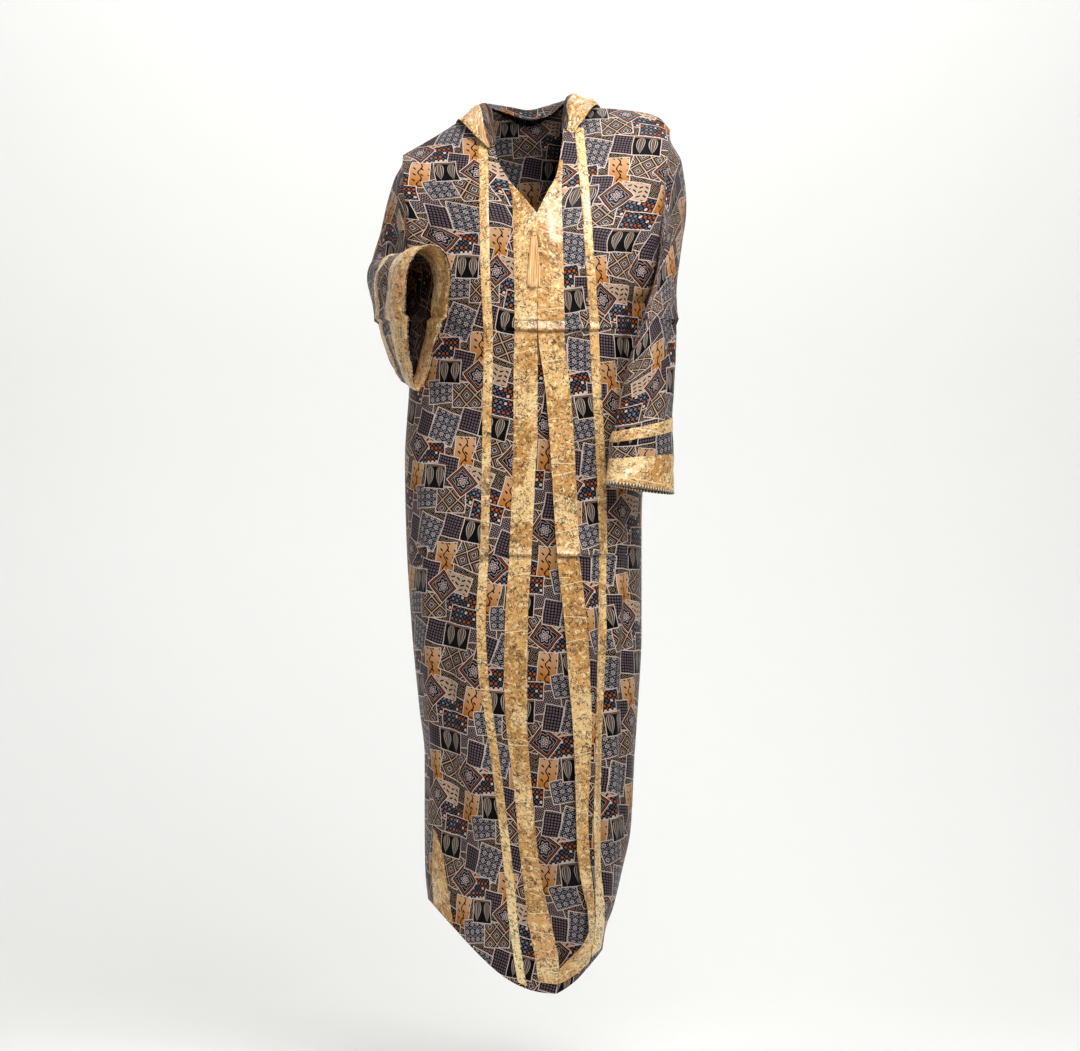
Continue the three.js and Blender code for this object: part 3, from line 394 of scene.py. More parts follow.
def setFinish(shader, values):
    for name, value in values.items():
        shader.inputs[name].default_value = value


def newMaterial(name):
    material = bpy.data.materials.new(name)
    material.use_nodes = True
    tree = material.node_tree
    shader = tree.nodes["Principled BSDF"]
    return material, tree, shader


# The print: a patchwork of small traditional fillings, laid out in one cell that repeats.
# Each patch: kind, centre x and y, width, height, turn in degrees, in millimetres, later ones on top.
patchPrint = {
    "cell": (170, 164),
    "patches": [
        (7, 85, 82, 400, 400, 0), (0, 60, 30, 66, 40, 12), (9, 130, 112, 52, 44, -15),
        (8, 30, 142, 50, 38, 8), (3, 96, 152, 60, 36, -6), (2, 150, 128, 46, 52, 12), (4, 20, 92, 34, 52, -4),
        (1, 66, 104, 58, 50, 14), (0, 128, 84, 62, 34, -10), (8, 165, 62, 36, 48, 4), (9, 48, 58, 48, 30, 10),
        (4, 104, 42, 32, 50, 5), (2, 140, 18, 60, 38, -12), (1, 10, 18, 50, 40, -8), (0, 72, 8, 54, 30, 4),
        (6, 100, 92, 42, 38, 38), (6, 24, 50, 40, 36, 42), (5, 60, 140, 46, 38, 3), (8, 112, 128, 30, 42, 9),
        (5, 146, 50, 38, 38, -6),
    ],
    "outline": 1.35, "outlineColour": "#dccdc4",
    "lattices": {"large": 27, "coarse": 11.5, "mid": 7.4, "fine": 4.6},
}


def patchworkColour(tree, place):
    # place is a vector in millimetres of cloth; gives the colour of the print there
    cellX, cellY = patchPrint["cell"]
    vector = vectorCalc(tree, "MULTIPLY", place, (1, 1, 0))
    wobble = addNode(tree, "TexNoise", {0: place, 2: 0.03, 3: 1.0}, out=1)
    wobble = vectorCalc(tree, "SUBTRACT", wobble, (0.5, 0.5, 0.5))
    wobble = vectorCalc(tree, "MULTIPLY", wobble, (5.0, 5.0, 0.0))
    vector = vectorCalc(tree, "ADD", vector, wobble)
    local, edge = (0.0, 0.0, 0.0), 0.0
    for kind, x, y, wide, tall, turn in patchPrint["patches"]:
        moved = vectorCalc(tree, "SUBTRACT", vector, (x, y, -kind))
        moved = vectorCalc(tree, "WRAP", moved, (cellX / 2, cellY / 2, 500), (-cellX / 2, -cellY / 2, -500))
        moved = spun(tree, moved, turn)
        inset = vectorCalc(tree, "ABSOLUTE", moved)
        inset = vectorCalc(tree, "SUBTRACT", (wide / 2, tall / 2, 0), inset)
        insetX, insetY, _ = axesOf(tree, inset)
        depth = calc(tree, "MINIMUM", insetX, insetY)
        inside = calc(tree, "GREATER_THAN", depth, 0.0)
        local = addNode(tree, "Mix", {0: inside, 4: local, 5: moved}, out=1, data_type="VECTOR")
        edge = addNode(tree, "Mix", {0: inside, 2: edge, 3: depth}, out=0, data_type="FLOAT")
    x, y, kind = axesOf(tree, local)

    near = {}
    for name, pitch in patchPrint["lattices"].items():
        half = pitch / 2
        cell = vectorCalc(tree, "WRAP", local, (half, half, 1), (-half, -half, -1))
        cell = vectorCalc(tree, "MULTIPLY", cell, (1, 1, 0))
        size = vectorCalc(tree, "ABSOLUTE", cell)
        a, b, _ = axesOf(tree, size)
        near[name] = {
            "cell": cell, "a": a, "b": b,
            "diamond": calc(tree, "ADD", a, b),
            "square": calc(tree, "MAXIMUM", a, b),
            "round": vectorCalc(tree, "LENGTH", cell, out=1),
        }
    large, coarse, mid, fine = (near[name] for name in ("large", "coarse", "mid", "fine"))

    def banded(value, reach, stops):
        share = calc(tree, "DIVIDE", value, float(reach), use_clamp=True)
        return addNode(tree, "ValToRGB", share, stops=[(p / reach, c) for p, c in stops])

    fills = {}
    dots = {0: local, 2: 1 / patchPrint["lattices"]["mid"], 8: 0.0}
    dots = addNode(tree, "TexVoronoi", dots, out=1, voronoi_dimensions="2D")
    dots = addNode(tree, "SeparateColor", dots)
    dots = addNode(tree, "ValToRGB", dots, stops=[
        (0, "#d8cac0"), (0.28, "#8c909a"), (0.52, "#b4714c"), (0.74, "#566276")])
    between = banded(mid["diamond"], 7.4, [(0, "#120d12"), (5.7, "#857a80")])
    onDot = calc(tree, "LESS_THAN", mid["round"], 2.3)
    fills[0] = blended(tree, onDot, between, dots)
    nested = calc(tree, "PINGPONG", large["diamond"], patchPrint["lattices"]["large"] / 2)
    fills[1] = banded(nested, 14, [
        (0, "#50627a"), (3.6, "#dccdc0"), (4.7, "#1f0f10"), (7.2, "#c4b2a0"), (8.1, "#6a4434"),
        (10.6, "#140e10"), (12.4, "#c9b8a6")])
    across, up, _ = axesOf(tree, coarse["cell"])
    curl = calc(tree, "ARCTAN2", up, across)
    petal = calc(tree, "MULTIPLY", curl, 6.0)
    petal = calc(tree, "COSINE", petal)
    petal = calc(tree, "MULTIPLY_ADD", petal, 1.0, coarse["round"])
    fills[2] = banded(petal, 10, [
        (0, "#b56c40"), (1.2, "#15101a"), (1.8, "#ccc8c8"), (3.1, "#606a78"), (4.3, "#110e14"),
        (6.0, "#aea6a6"), (7.0, "#1c161d")])
    fills[3] = banded(mid["diamond"], 7.4, [
        (0, "#d2c2b0"), (0.9, "#a5622f"), (1.9, "#110d11"), (3.0, "#4c6079"), (4.2, "#b8aca2"),
        (5.0, "#130f13"), (6.4, "#7c5338")])
    wave = calc(tree, "MULTIPLY", y, 0.28)
    wave = calc(tree, "SINE", wave)
    stem = calc(tree, "MULTIPLY_ADD", wave, 3.0, x)
    stem = calc(tree, "ABSOLUTE", stem)
    leafAt = vectorCalc(tree, "SUBTRACT", coarse["cell"], (3.1, 1.2, 0))
    leafAt = spun(tree, leafAt, 38)
    leafAt = vectorCalc(tree, "MULTIPLY", leafAt, (1.0, 2.6, 1))
    leafSize = vectorCalc(tree, "LENGTH", leafAt, out=1)
    leafSize = calc(tree, "DIVIDE", leafSize, 2.9)
    sprig = calc(tree, "MINIMUM", stem, leafSize)
    warm = ranged(tree, y, -15.0, 15.0, 0.0, 1.0)
    warm = blended(tree, warm, linear("#c28c4c"), linear("#d4b08c"))
    sprig = calc(tree, "LESS_THAN", sprig, 1.15)
    fills[4] = blended(tree, sprig, warm, linear("#2a1610"))
    pair = calc(tree, "ABSOLUTE", x)
    pair = calc(tree, "SUBTRACT", pair, 9.5)
    pair = calc(tree, "ABSOLUTE", pair)
    rise = ranged(tree, y, 14.5, -14.5, 0.0, 1.0)
    width = calc(tree, "SQRT", rise)
    rest = calc(tree, "SUBTRACT", 1.02, rise)
    width = calc(tree, "MULTIPLY", width, rest)
    width = calc(tree, "MULTIPLY", width, 17.0)
    drop = calc(tree, "DIVIDE", pair, width)
    fills[5] = banded(drop, 2, [
        (0, "#8c7466"), (0.18, "#0f0c12"), (0.32, "#cbbfb4"), (0.47, "#434c60"), (0.64, "#0f0c12"),
        (0.78, "#c0b4a8"), (1.0, "#120e15")])
    turnAngle = calc(tree, "ARCTAN2", y, x)
    lobes = calc(tree, "MULTIPLY", turnAngle, 6.0)
    lobes = calc(tree, "COSINE", lobes)
    radius = vectorCalc(tree, "LENGTH", vectorCalc(tree, "MULTIPLY", local, (1, 1, 0)), out=1)
    rosette = calc(tree, "MULTIPLY_ADD", lobes, 1.7, radius)
    rosette = banded(rosette, 20, [
        (0, "#7c3a34"), (2.0, "#e2d3c8"), (3.9, "#120d12"), (6.2, "#bdb2b4"), (8.0, "#2a1a20"),
        (9.6, "#120d12"), (11.6, "#a3979a"), (13.2, "#151015")])
    frameBands = banded(edge, 20, [
        (0, "#1a0d0d"), (1.0, "#4a201a"), (3.2, "#a8664a"), (4.1, "#150c0e"), (5.6, "#c4b2a2")])
    within = calc(tree, "GREATER_THAN", edge, 6.4)
    fills[6] = blended(tree, within, frameBands, rosette)
    curl = calc(tree, "MULTIPLY_ADD", coarse["round"], 1.25, curl)
    curl = calc(tree, "SINE", curl)
    curl = calc(tree, "ADD", curl, 1.0)
    fills[7] = banded(curl, 2, [(0, "#130d0f"), (0.62, "#6b4d3c"), (1.0, "#cbb7a2"), (1.48, "#1c1315")])
    fills[8] = banded(fine["square"], 2.4, [(0, "#85767c"), (1.5, "#140e13")])
    row = calc(tree, "MULTIPLY", x, 0.3)
    row = calc(tree, "SINE", row)
    row = calc(tree, "MULTIPLY_ADD", row, 1.7, y)
    row = calc(tree, "PINGPONG", row, 3.7)
    step = calc(tree, "PINGPONG", x, 4.6)
    step = calc(tree, "MULTIPLY", step, 0.45)
    dash = calc(tree, "MAXIMUM", row, step)
    fills[9] = banded(dash, 4, [(0, "#2a1715"), (1.3, "#c9b39f")])
    colour = fills[7]
    for number in (0, 1, 2, 3, 4, 5, 6, 8, 9):
        same = calc(tree, "COMPARE", kind, float(number), 0.4)
        colour = blended(tree, same, colour, fills[number])
    onLine = calc(tree, "LESS_THAN", edge, patchPrint["outline"])
    return blended(tree, onLine, colour, linear(patchPrint["outlineColour"]))


weave = {"pitch": 1.1, "relief": 0.10}  # satin floats are about 0.2 mm; drawn coarser so that they show


def addWeave(tree, shader, place, strength, crumple):
    # long satin floats down the cloth, and a fine crumple from wear
    floats = addNode(tree, "Mapping", {0: place, 3: (1 / weave["pitch"], 0.25 / weave["pitch"], 1)})
    floats = addNode(tree, "TexNoise", {0: floats, 2: 1.0, 3: 1.0})
    rumple = addNode(tree, "TexNoise", {0: place, 2: 0.07, 3: 3.0, 4: 0.6})
    height = calc(tree, "MULTIPLY_ADD", rumple, crumple, floats)
    bump = addNode(tree, "Bump", {0: strength, 1: 0.001 * weave["relief"], 3: height})
    tree.links.new(bump, shader.inputs["Normal"])


# Printed polyester satin, woven with long floats and screen printed: a soft sheen over the colours.
printFinish = {
    "face": {"brightness": 0.91, "roughness": 0.46, "gloss": 0.11},
    "reverse": {"brightness": 0.5, "roughness": 0.6, "gloss": 0.08},
    "contrast": 1.42, "shades": (0.86, 1.12), "weave": 0.5, "crumple": 2.2,
}


def makePrintedSatin(name, side):
    brightness, roughness, gloss = printFinish[side].values()
    material, tree, shader = newMaterial(name)
    place = clothPlace(tree)
    colour = addNode(tree, "Gamma", {0: patchworkColour(tree, place), 1: printFinish["contrast"]})
    shade = addNode(tree, "TexNoise", {0: place, 2: 0.006, 3: 2.0})
    darkest, palest = printFinish["shades"]
    shade = ranged(tree, shade, 0.3, 0.7, darkest * brightness, palest * brightness)
    colour = vectorCalc(tree, "SCALE", {0: colour, 3: shade})
    tree.links.new(colour, shader.inputs["Base Color"])
    worn = addNode(tree, "TexNoise", {0: place, 2: 0.02, 3: 3.0})
    rough = ranged(tree, worn, 0.3, 0.7, roughness - 0.05, roughness + 0.06)
    tree.links.new(rough, shader.inputs["Roughness"])
    setFinish(shader, {"IOR": 1.5, "Specular IOR Level": gloss})
    addWeave(tree, shader, place, printFinish["weave"], printFinish["crumple"])
    return material


# Gold satin with a small vine print: warm and glossy, puckered where it is sewn down.
goldPrint = {
    "patch": 44, "vine": 10.0, "fleck": 3.0, "lineWidth": 1.1,
    "lines": [(-12, 86, 0.44), (2, 61, 0.58), (74, 97, 0.6)],
    # tapes are a paler gold overall; over the start of their length a painted highlight fades out by the given
    # reach
    "tapeBrightness": 1.04, "tapeHighlightTo": 330, "gloss": 0.7, "weave": 0.8, "crumple": 5.0,
}


def makeGoldSatin(name, brightness=1.0, highlightTo=None):
    # the last argument gives how far along the cloth a painted highlight reaches: a paler wash over the start of
    # its length, standing in for light falling on the tape
    material, tree, shader = newMaterial(name)
    place = clothPlace(tree)
    flat = vectorCalc(tree, "MULTIPLY", place, (1, 1, 0))
    tilted = spun(tree, flat, 14)
    patch = tree.nodes.new("ShaderNodeTexVoronoi")
    patch.distance = "CHEBYCHEV"
    patch.inputs["Scale"].default_value = 1 / goldPrint["patch"]
    patch.inputs["Randomness"].default_value = 0.7
    tree.links.new(tilted, patch.inputs[0])
    tone = addNode(tree, "SeparateColor", patch.outputs["Color"])
    base = addNode(tree, "ValToRGB", tone, stops=[
        (0, "#d29c5a"), (0.22, "#deb070"), (0.45, "#c58f4c"), (0.62, "#e2bb80"), (0.82, "#bb8541")])
    cloud = addNode(tree, "TexNoise", {0: flat, 2: 0.12, 3: 3.0, 4: 0.65})
    cloud = ranged(tree, cloud, 0.5, 0.66, 0.0, 0.85)
    # painted highlight: the cloth is painted paler towards the start of its length, for light falling on the tape
    if highlightTo:
        down = addNode(tree, "SeparateXYZ", place, out=1)
        down = ranged(tree, down, 60, highlightTo, 0.75, 0.12)
        cloud = calc(tree, "MAXIMUM", cloud, down)
    base = blended(tree, cloud, base, linear("#f6e0a8"))
    # vines: thin dark lines where two noises cross their middle, in loose clusters
    vine = addNode(tree, "TexNoise", {0: flat, 2: 1 / goldPrint["vine"], 3: 2.0, 4: 0.6})
    vine = calc(tree, "SUBTRACT", vine, 0.5)
    vine = calc(tree, "ABSOLUTE", vine)
    vine = calc(tree, "LESS_THAN", vine, 0.03)
    cluster = addNode(tree, "TexNoise", {0: flat, 2: 0.05, 3: 2.0})
    cluster = calc(tree, "GREATER_THAN", cluster, 0.48)
    vine = calc(tree, "MULTIPLY", vine, cluster)
    fleck = addNode(tree, "TexVoronoi", {0: flat, 2: 1 / goldPrint["fleck"], 8: 1.0})
    fleckSize = addNode(tree, "TexNoise", {0: flat, 2: 0.16, 3: 1.0})
    fleckSize = ranged(tree, fleckSize, 0.35, 0.65, 0.12, 0.46)
    fleck = calc(tree, "LESS_THAN", fleck, fleckSize)
    dark = calc(tree, "MAXIMUM", vine, fleck)
    depth = addNode(tree, "TexNoise", {0: flat, 2: 0.09, 3: 2.0, 4: 0.6})
    depth = ranged(tree, depth, 0.38, 0.62, 0.5, 0.95)
    dark = calc(tree, "MULTIPLY", dark, depth)
    colour = blended(tree, dark, base, linear("#38200f"))
    # pale printed lines that cross the cloth
    for angle, spacing, mask in goldPrint["lines"]:
        line = spun(tree, flat, angle)
        line = addNode(tree, "SeparateXYZ", line, out=1)
        line = calc(tree, "PINGPONG", line, spacing / 2)
        line = calc(tree, "LESS_THAN", line, goldPrint["lineWidth"] / 2)
        where = addNode(tree, "TexNoise", {0: tilted, 2: 0.02, 3: 1.0})
        where = calc(tree, "GREATER_THAN", where, mask)
        line = calc(tree, "MULTIPLY", line, where)
        colour = blended(tree, line, colour, linear("#ecd6a8"))
    colour = vectorCalc(tree, "SCALE", {0: colour, 3: brightness})
    tree.links.new(colour, shader.inputs["Base Color"])
    shine = addNode(tree, "TexNoise", {0: place, 2: 0.05, 3: 2.0})
    rough = ranged(tree, shine, 0.3, 0.7, 0.3, 0.44)
    tree.links.new(rough, shader.inputs["Roughness"])
    setFinish(shader, {"IOR": 1.5, "Specular IOR Level": goldPrint["gloss"], "Sheen Weight": 0.1})
    addWeave(tree, shader, place, goldPrint["weave"], goldPrint["crumple"])
    return material


# Twisted viscose thread: silky strands with a narrow gloss along each, painted into the colour as a pale highlight
# streak.
def makeViscose(name):
    material, tree, shader = newMaterial(name)
    place = clothPlace(tree)
    along = vectorCalc(tree, "MULTIPLY", place, (0.3, 0.012, 1))
    tintAndHighlight = addNode(tree, "TexNoise", {0: along, 2: 1.0, 3: 1.0})
    # the thread's own tones, and a narrow pale band that is a painted highlight along the strands
    colour = addNode(tree, "ValToRGB", tintAndHighlight, stops=[
        (0, "#c88f4a"), (0.42, "#e3b472"), (0.52, "#f4d9a2"), (0.62, "#d9a45e")])
    tree.links.new(colour, shader.inputs["Base Color"])
    setFinish(shader, {"Roughness": 0.38, "IOR": 1.5, "Sheen Weight": 0.2})
    return material


# Overcast cotton edging: pale thread with dark stitches, matt.
def makeEdging(name):
    material, tree, shader = newMaterial(name)
    place = clothPlace(tree)
    parts = addNode(tree, "SeparateXYZ", place)
    stitch = 5.2
    dash = calc(tree, "MODULO", parts, stitch)
    dash = calc(tree, "DIVIDE", dash, stitch)
    colour = addNode(tree, "ValToRGB", dash, stops=[(0, "#d9cdb8"), (0.42, "#3a2c22"), (0.8, "#8c7a5e")])
    tree.links.new(colour, shader.inputs["Base Color"])
    fuzz = addNode(tree, "TexNoise", {0: place, 2: 1.2, 3: 2.0})
    bump = addNode(tree, "Bump", {0: 0.5, 1: 0.0003, 3: fuzz})
    tree.links.new(bump, shader.inputs["Normal"])
    setFinish(shader, {"Roughness": 0.75})
    return material


printedSatin = makePrintedSatin("printedSatin", "face")
satinReverse = makePrintedSatin("printedSatinReverse", "reverse")
goldSatin = makeGoldSatin("goldSatin")
# the tapes: a paler gold, with a painted highlight over the start of their length
paleGoldSatinPaintedHighlight = makeGoldSatin("paleGoldSatinPaintedHighlight", goldPrint["tapeBrightness"], goldPrint["tapeHighlightTo"])
tasselViscose = makeViscose("tasselViscose")
cuffEdging = makeEdging("cuffEdging")
print("materials made:", len(bpy.data.materials))


# From hem to shoulder: height at the side, inner edge, narrow tape's middle, wide band's outer edge, sag.
fronts = {
    "right": {
        "rows": [
            (-1224, 33, -1366, -18, 6, 30), (-1212, 35, -1351, -22, 5, 28), (-1188, 37, -1320, -27, 1, 26),
            (-1132, 27, -1264, -34, -10, 26), (-1088, 13, -1207, -39, -17, 18), (-1048, 5, -1153, -45, -24, 11),
            (-990, -3, -1069, -55, -31, 5), (-905, -12, -948, -71, -45, 0), (-845, -12, -874, -80, -48, 0),
            (-768, -11, -783, -83, -46, 0), (-690, -6, -694, -79, -40, 0), (-569, 0, -569, -76, -35, 0),
            (-493, 4, -493, -75, -33, 0), (-425, 4, -420, -73, -33, 0), (-368, 3.5, -359, -72, -32, 0),
            (-345, 3, -331, -72, -31, 0), (-296, 3, -240, -76, -32, 0), (-232, 2.6, -157, -78, -34, 0),
            (-229, 0.4, -154.4, -78, -34, 0), (-190, -19, -130, -79, -35, 0),
            (-158, -37, -109, -79, -42, 0), (-118, -59, -69, -80, -63, 0),
            (-88, -64, -40, -83, -69, 0), (-68, -69, -8, -88, -75, 0), (-60, -70, 9, -90, -77, 0),
        ],
        "band": (1, 19.9), "tape": (0.3, 22), "turn": 9, "shift": (40, 20),
    },
    "left": {
        "rows": [
            (-1303, 33.4, -1366, 91, 81, 7), (-1299, 35.4, -1351, 93, 84, 6), (-1295, 37.6, -1331, 95, 86, 4),
            (-1289, 56, -1310, 96, 87, 2), (-1281, 73, -1292, 98, 90, 0), (-1266, 83, -1269, 100, 92, 0),
            (-1236, 80, -1236, 101, 92, 0), (-1180, 69, -1179, 101, 87, 0), (-1142, 64, -1142, 100, 84, 0),
            (-1083, 63, -1083, 99, 83, 0), (-1022, 61, -1022, 100, 86, 0), (-948, 58, -948, 102, 88, 0),
            (-874, 52, -874, 105, 85, 0), (-783, 45, -783, 108, 80, 0), (-694, 35, -694, 108, 70, 0),
            (-569, 27, -569, 104, 64, 0), (-493, 22, -493, 100, 60, 0), (-425, 15, -420, 96, 53, 0),
            (-368, 6, -359, 93, 46, 0), (-345, 4, -331, 92, 45, 0), (-290, 3.6, -240, 88, 44, 0),
            (-225, 3.2, -157, 82, 42, 0), (-221, 4.4, -154.6, 82, 42, 0), (-180, 18, -126, 79, 41, 0),
            (-140, 33, -97, 76, 42, 0), (-105, 39, -66, 73, 44, 0), (-62, 44, -25, 69, 50, 0),
            (-33, 48, 3, 67, 54, 0), (-20, 50, 16, 66, 56, 0),
        ],
        "band": (1, 24.8), "tape": (1.6, 26.2), "turn": -2, "shift": (100, 60),
    },
    "columns": 64, "rowStep": 7.5, "shoulderRows": 4, "tapeWidth": 14,
    "trimLift": 0.5, "trimWall": 0.9, "pucker": 0.7,
}
frontNames = "side x z tape band sag"


def rowShape(side, v):
    # the line of a front's row v, as a function of x, and its two ends
    rows = fronts[side]["rows"]
    at = {name: curve(v) for name, curve in tableCurves(frontNames, rows).items()}
    xSide = sideX(side, at["side"])
    last = len(rows) - 1
    nearTop = smooth(1 - (last - v) / fronts["shoulderRows"])

    def rowZ(x):
        f = np.clip((x - xSide) / (at["x"] - xSide), 0, 1)
        straight = mix(rows[last][0], rows[last][2], f)
        rise = shoulderAt(mix(tips[side][0], rows[last][1], f)) - straight
        return mix(at["side"], at["z"], f) - at["sag"] * np.sin(math.pi * f**1.35) + nearTop * rise

    return xSide, at, rowZ


def rowNumbers(side, first=0.0, last=None, step=None):
    # row numbers that are evenly spaced on the cloth, with more beside the packing creases
    rows = fronts[side]["rows"]
    last = len(rows) - 1 if last is None else last
    v = np.linspace(first, last, 1500)
    at = {name: curve(v) for name, curve in tableCurves(frontNames, rows).items()}
    ends = np.stack([at["x"] * 0.5, at["z"], at["side"]], axis=-1) * np.array([1, 0.7, 0.5])
    run = lengthsAlong(ends)
    even = np.interp(np.arange(0, run[-1], step or fronts["rowStep"]), run, v)
    extra = []
    for height, *_ in packCreases["rows"]:
        for off in (-7, -4, -2, -1, -0.3, 0.3, 1, 2, 4, 7):
            extra.append(np.interp(height + off, at["z"], v))
    every = np.unique(np.concatenate([even, [last], np.clip(extra, first, last)]))
    return every[np.concatenate([[True], np.diff(every) > 0.004])]


def frontGrid(side):
    sign = -1 if side == "right" else 1
    n = bodyShape["roundness"]
    grid, heights = [], rowNumbers(side)
    for v in heights:
        xSide, at, rowZ = rowShape(side, v)
        start = float(at["tape"]) + sign * fronts["tapeWidth"] / 2
        z = rowZ(start)
        rightX, leftX = sideX("right", z), sideX("left", z)
        middle, half = (rightX + leftX) / 2, (leftX - rightX) / 2
        turnTo = math.acos(min(max(sign * (start - middle) / half, 0.02), 0.97) ** (n / 2))
        share = np.cos(np.linspace(0, turnTo, 60)) ** (2 / n)
        z = np.full(60, float(at["side"]))
        for _ in range(6):
            rightX, leftX = sideX("right", z), sideX("left", z)
            x = (rightX + leftX) / 2 + sign * (leftX - rightX) / 2 * share
            x[0] = xSide
            z = rowZ(x)
        z[0] = at["side"]
        across = np.linspace(x[-1], float(at["x"]) + sign * 0.1, 60)
        xs = np.concatenate([x[:-1], across])
        zs = np.concatenate([z[:-1], rowZ(across)])
        line = bodySurface(-1, xs, zs)
        run = lengthsAlong(line)
        even = np.linspace(0, run[-1], fronts["columns"])
        xs = np.interp(even, run, xs)
        grid.append(bodySurface(-1, xs, np.where(np.arange(len(xs)) == 0, float(at["side"]), rowZ(xs))))
    grid = np.array(grid)
    return grid if side == "right" else grid[:, ::-1]


def clothMap(grid, turn=0.0, shift=(0, 0)):
    # millimetres across from the garment's middle line, and down from the shoulder
    across = lengthsAcross(grid)
    anchor = np.array([np.interp(0, row[:, 0], run) for row, run in zip(grid, across)])
    u = across - anchor[:, None]
    v = clothHeight(grid[..., 0], grid[..., 2])
    return turned(np.stack([u, v], axis=-1), turn, shift)


def turned(uv, turn, shift):
    angle = math.radians(turn)
    c, s = math.cos(angle), math.sin(angle)
    u, v = uv[..., 0], uv[..., 1]
    return np.stack([u * c - v * s, u * s + v * c], axis=-1) + np.array(shift)


def stripOffsets(grid, along, lift, wall, pucker, seed):
    # a trim's outer face: rounded down at both edges, and puckered along its length
    across = np.linspace(-1, 1, grid.shape[1])[None, :]
    edge = 1 - np.abs(across) ** 6
    waves = softNoise(seed, along / 7.5 + 0 * across, across * 0.8 + 0 * along)
    waves = waves + 0.6 * softNoise(seed + 1, along / 3.6 + across * 1.5, across * 2.0 + 0 * along)
    return lift + wall * (0.5 + 0.5 * edge) + pucker * waves * (0.35 + 0.65 * np.abs(across) ** 2) * 0.7


def trimShell(edge, relief, outside):
    # the two faces of a trim that is sewn on the outside or the inside of a panel
    lift, wall = fronts["trimLift"], fronts["trimWall"]
    if outside:
        return {"outer": lift + wall * edge + relief, "inner": lift * 0.4, "back": 0}
    under = -cloth["wall"]
    return {"outer": under - lift * 0.4, "inner": under - lift - wall * edge - relief, "back": 0}


def makeStrip(name, grid, pucker, seed, turn=0.0, shift=(0, 0), satin=goldSatin):
    wall, lift = fronts["trimWall"], fronts["trimLift"]
    along = lengthsAlong(grid[:, grid.shape[1] // 2])[:, None]
    across = lengthsAcross(grid)
    uv = np.stack([across, np.broadcast_to(along, across.shape)], axis=-1)
    outer = stripOffsets(grid, along, lift, wall, pucker, seed)
    return makeCloth(name, grid, turned(uv, turn, shift), [satin], outer=outer, inner=lift * 0.4, back=0)


def stripOnFront(side, which, name, seed):
    sign = -1 if side == "right" else 1
    first, last = fronts[side][which]
    v = rowNumbers(side, first, last, 3.2)
    rows = []
    for number in v:
        xSide, at, rowZ = rowShape(side, number)
        if which == "band":
            outer, inner = float(at["band"]), float(at["x"]) - sign * 0.1
        else:
            outer = float(at["tape"]) + sign * fronts["tapeWidth"] / 2
            inner = outer - sign * fronts["tapeWidth"]
        xs = np.linspace(outer, inner, 15 if which == "band" else 9)
        rows.append(bodySurface(-1, xs, rowZ(xs)))
    grid = np.array(rows)
    grid = grid if side == "right" else grid[:, ::-1]
    shift = (seed * 37, seed * 53 if which == "band" else 0)
    satin = paleGoldSatinPaintedHighlight if which == "tape" else goldSatin
    made = makeStrip(name, grid, fronts["pucker"], seed, shift=shift, satin=satin)
    declareSheet(made, grid)
    return made


for side, name, node in (("right", "frontRight", "front_right"), ("left", "frontLeft", "front_left")):
    grid = frontGrid(side)
    uv = clothMap(grid, fronts[side]["turn"], fronts[side]["shift"])
    made = makeCloth(name, grid, uv, [printedSatin, satinReverse])
    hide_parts(node)
    declareSheet(made, grid)
    print(name, "made:", grid.shape)
for side, seed in (("right", 21), ("left", 31)):
    band = stripOnFront(side, "band", "wideBand" + side.capitalize(), seed)
    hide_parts("wide_band_" + side)
    tape = stripOnFront(side, "tape", "narrowTape" + side.capitalize(), seed + 4)
    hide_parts("narrow_tape_" + side)
print("bands and tapes made")

# The gold facing that shows at the foot of the right side.
slitFacing = {
    "rows": [(0.2, -158, -127), (1.2, -158, -129), (2.2, -159, -134), (3.0, -159, -142), (3.7, -158, -153)],
    "pucker": 0.9,
}


def makeSlitFacing():
    at = tableCurves("row outer inner", slitFacing["rows"])
    rows = []
    for k in np.linspace(0, len(slitFacing["rows"]) - 1, 60):
        _, _, rowZ = rowShape("right", float(at["row"](k)))
        xs = np.linspace(float(at["outer"](k)), float(at["inner"](k)), 12)
        rows.append(bodySurface(-1, xs, rowZ(xs)))
    grid = np.array(rows)
    made = makeStrip("slitFacing", grid, slitFacing["pucker"], 61, turn=20, shift=(300, 120))
    declareSheet(made, grid)
    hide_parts("slit_facing_right")


makeSlitFacing()

# The inverted pleat's underlay, set back behind the inner edges of the fronts.
underlay = {"top": -338, "foot": -1334, "setBack": 4, "overlap": 13, "deepest": 13, "folds": 2.2}


def makeUnderlay():
    edges = {side: np.array(fronts[side]["rows"]) for side in ("right", "left")}
    at = {side: curveThrough(e[:, 2], e[:, 1]) for side, e in edges.items()}
    heights = np.linspace(underlay["foot"], underlay["top"], 160)
    t = np.linspace(0, 1, 26)[None, :]
    start, end = at["right"](heights) - underlay["overlap"], at["left"](heights) + underlay["overlap"]
    x = mix(start[:, None], end[:, None], t)
    z = heights[:, None] + 0 * x
    deep = smooth((underlay["top"] - heights) / 500)[:, None] * underlay["deepest"]
    wrinkle = underlay["folds"] * softNoise(71, x / 22, z / 120) * np.sin(math.pi * t)
    y = bodySurface(-1, x, z)[..., 1] + creaseHeight(x, z) + underlay["setBack"]
    y = y + deep * np.sin(math.pi * t) ** 1.5 + np.abs(wrinkle)
    grid = np.stack([x, y, z], axis=-1)
    made = makeCloth("pleatUnderlay", grid, clothMap(grid, 0, (84, 128)), [printedSatin, satinReverse])
    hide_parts("pleat_underlay")
    declareSheet(made, grid)


makeUnderlay()

# The back: its hem, its neck and how finely it is made.
backEdge = {"hemRight": -1224, "hemLeft": -1303, "hemSag": 58, "neckHalf": 60, "neckMiddle": -10,
            "columns": 110, "rows": 180}


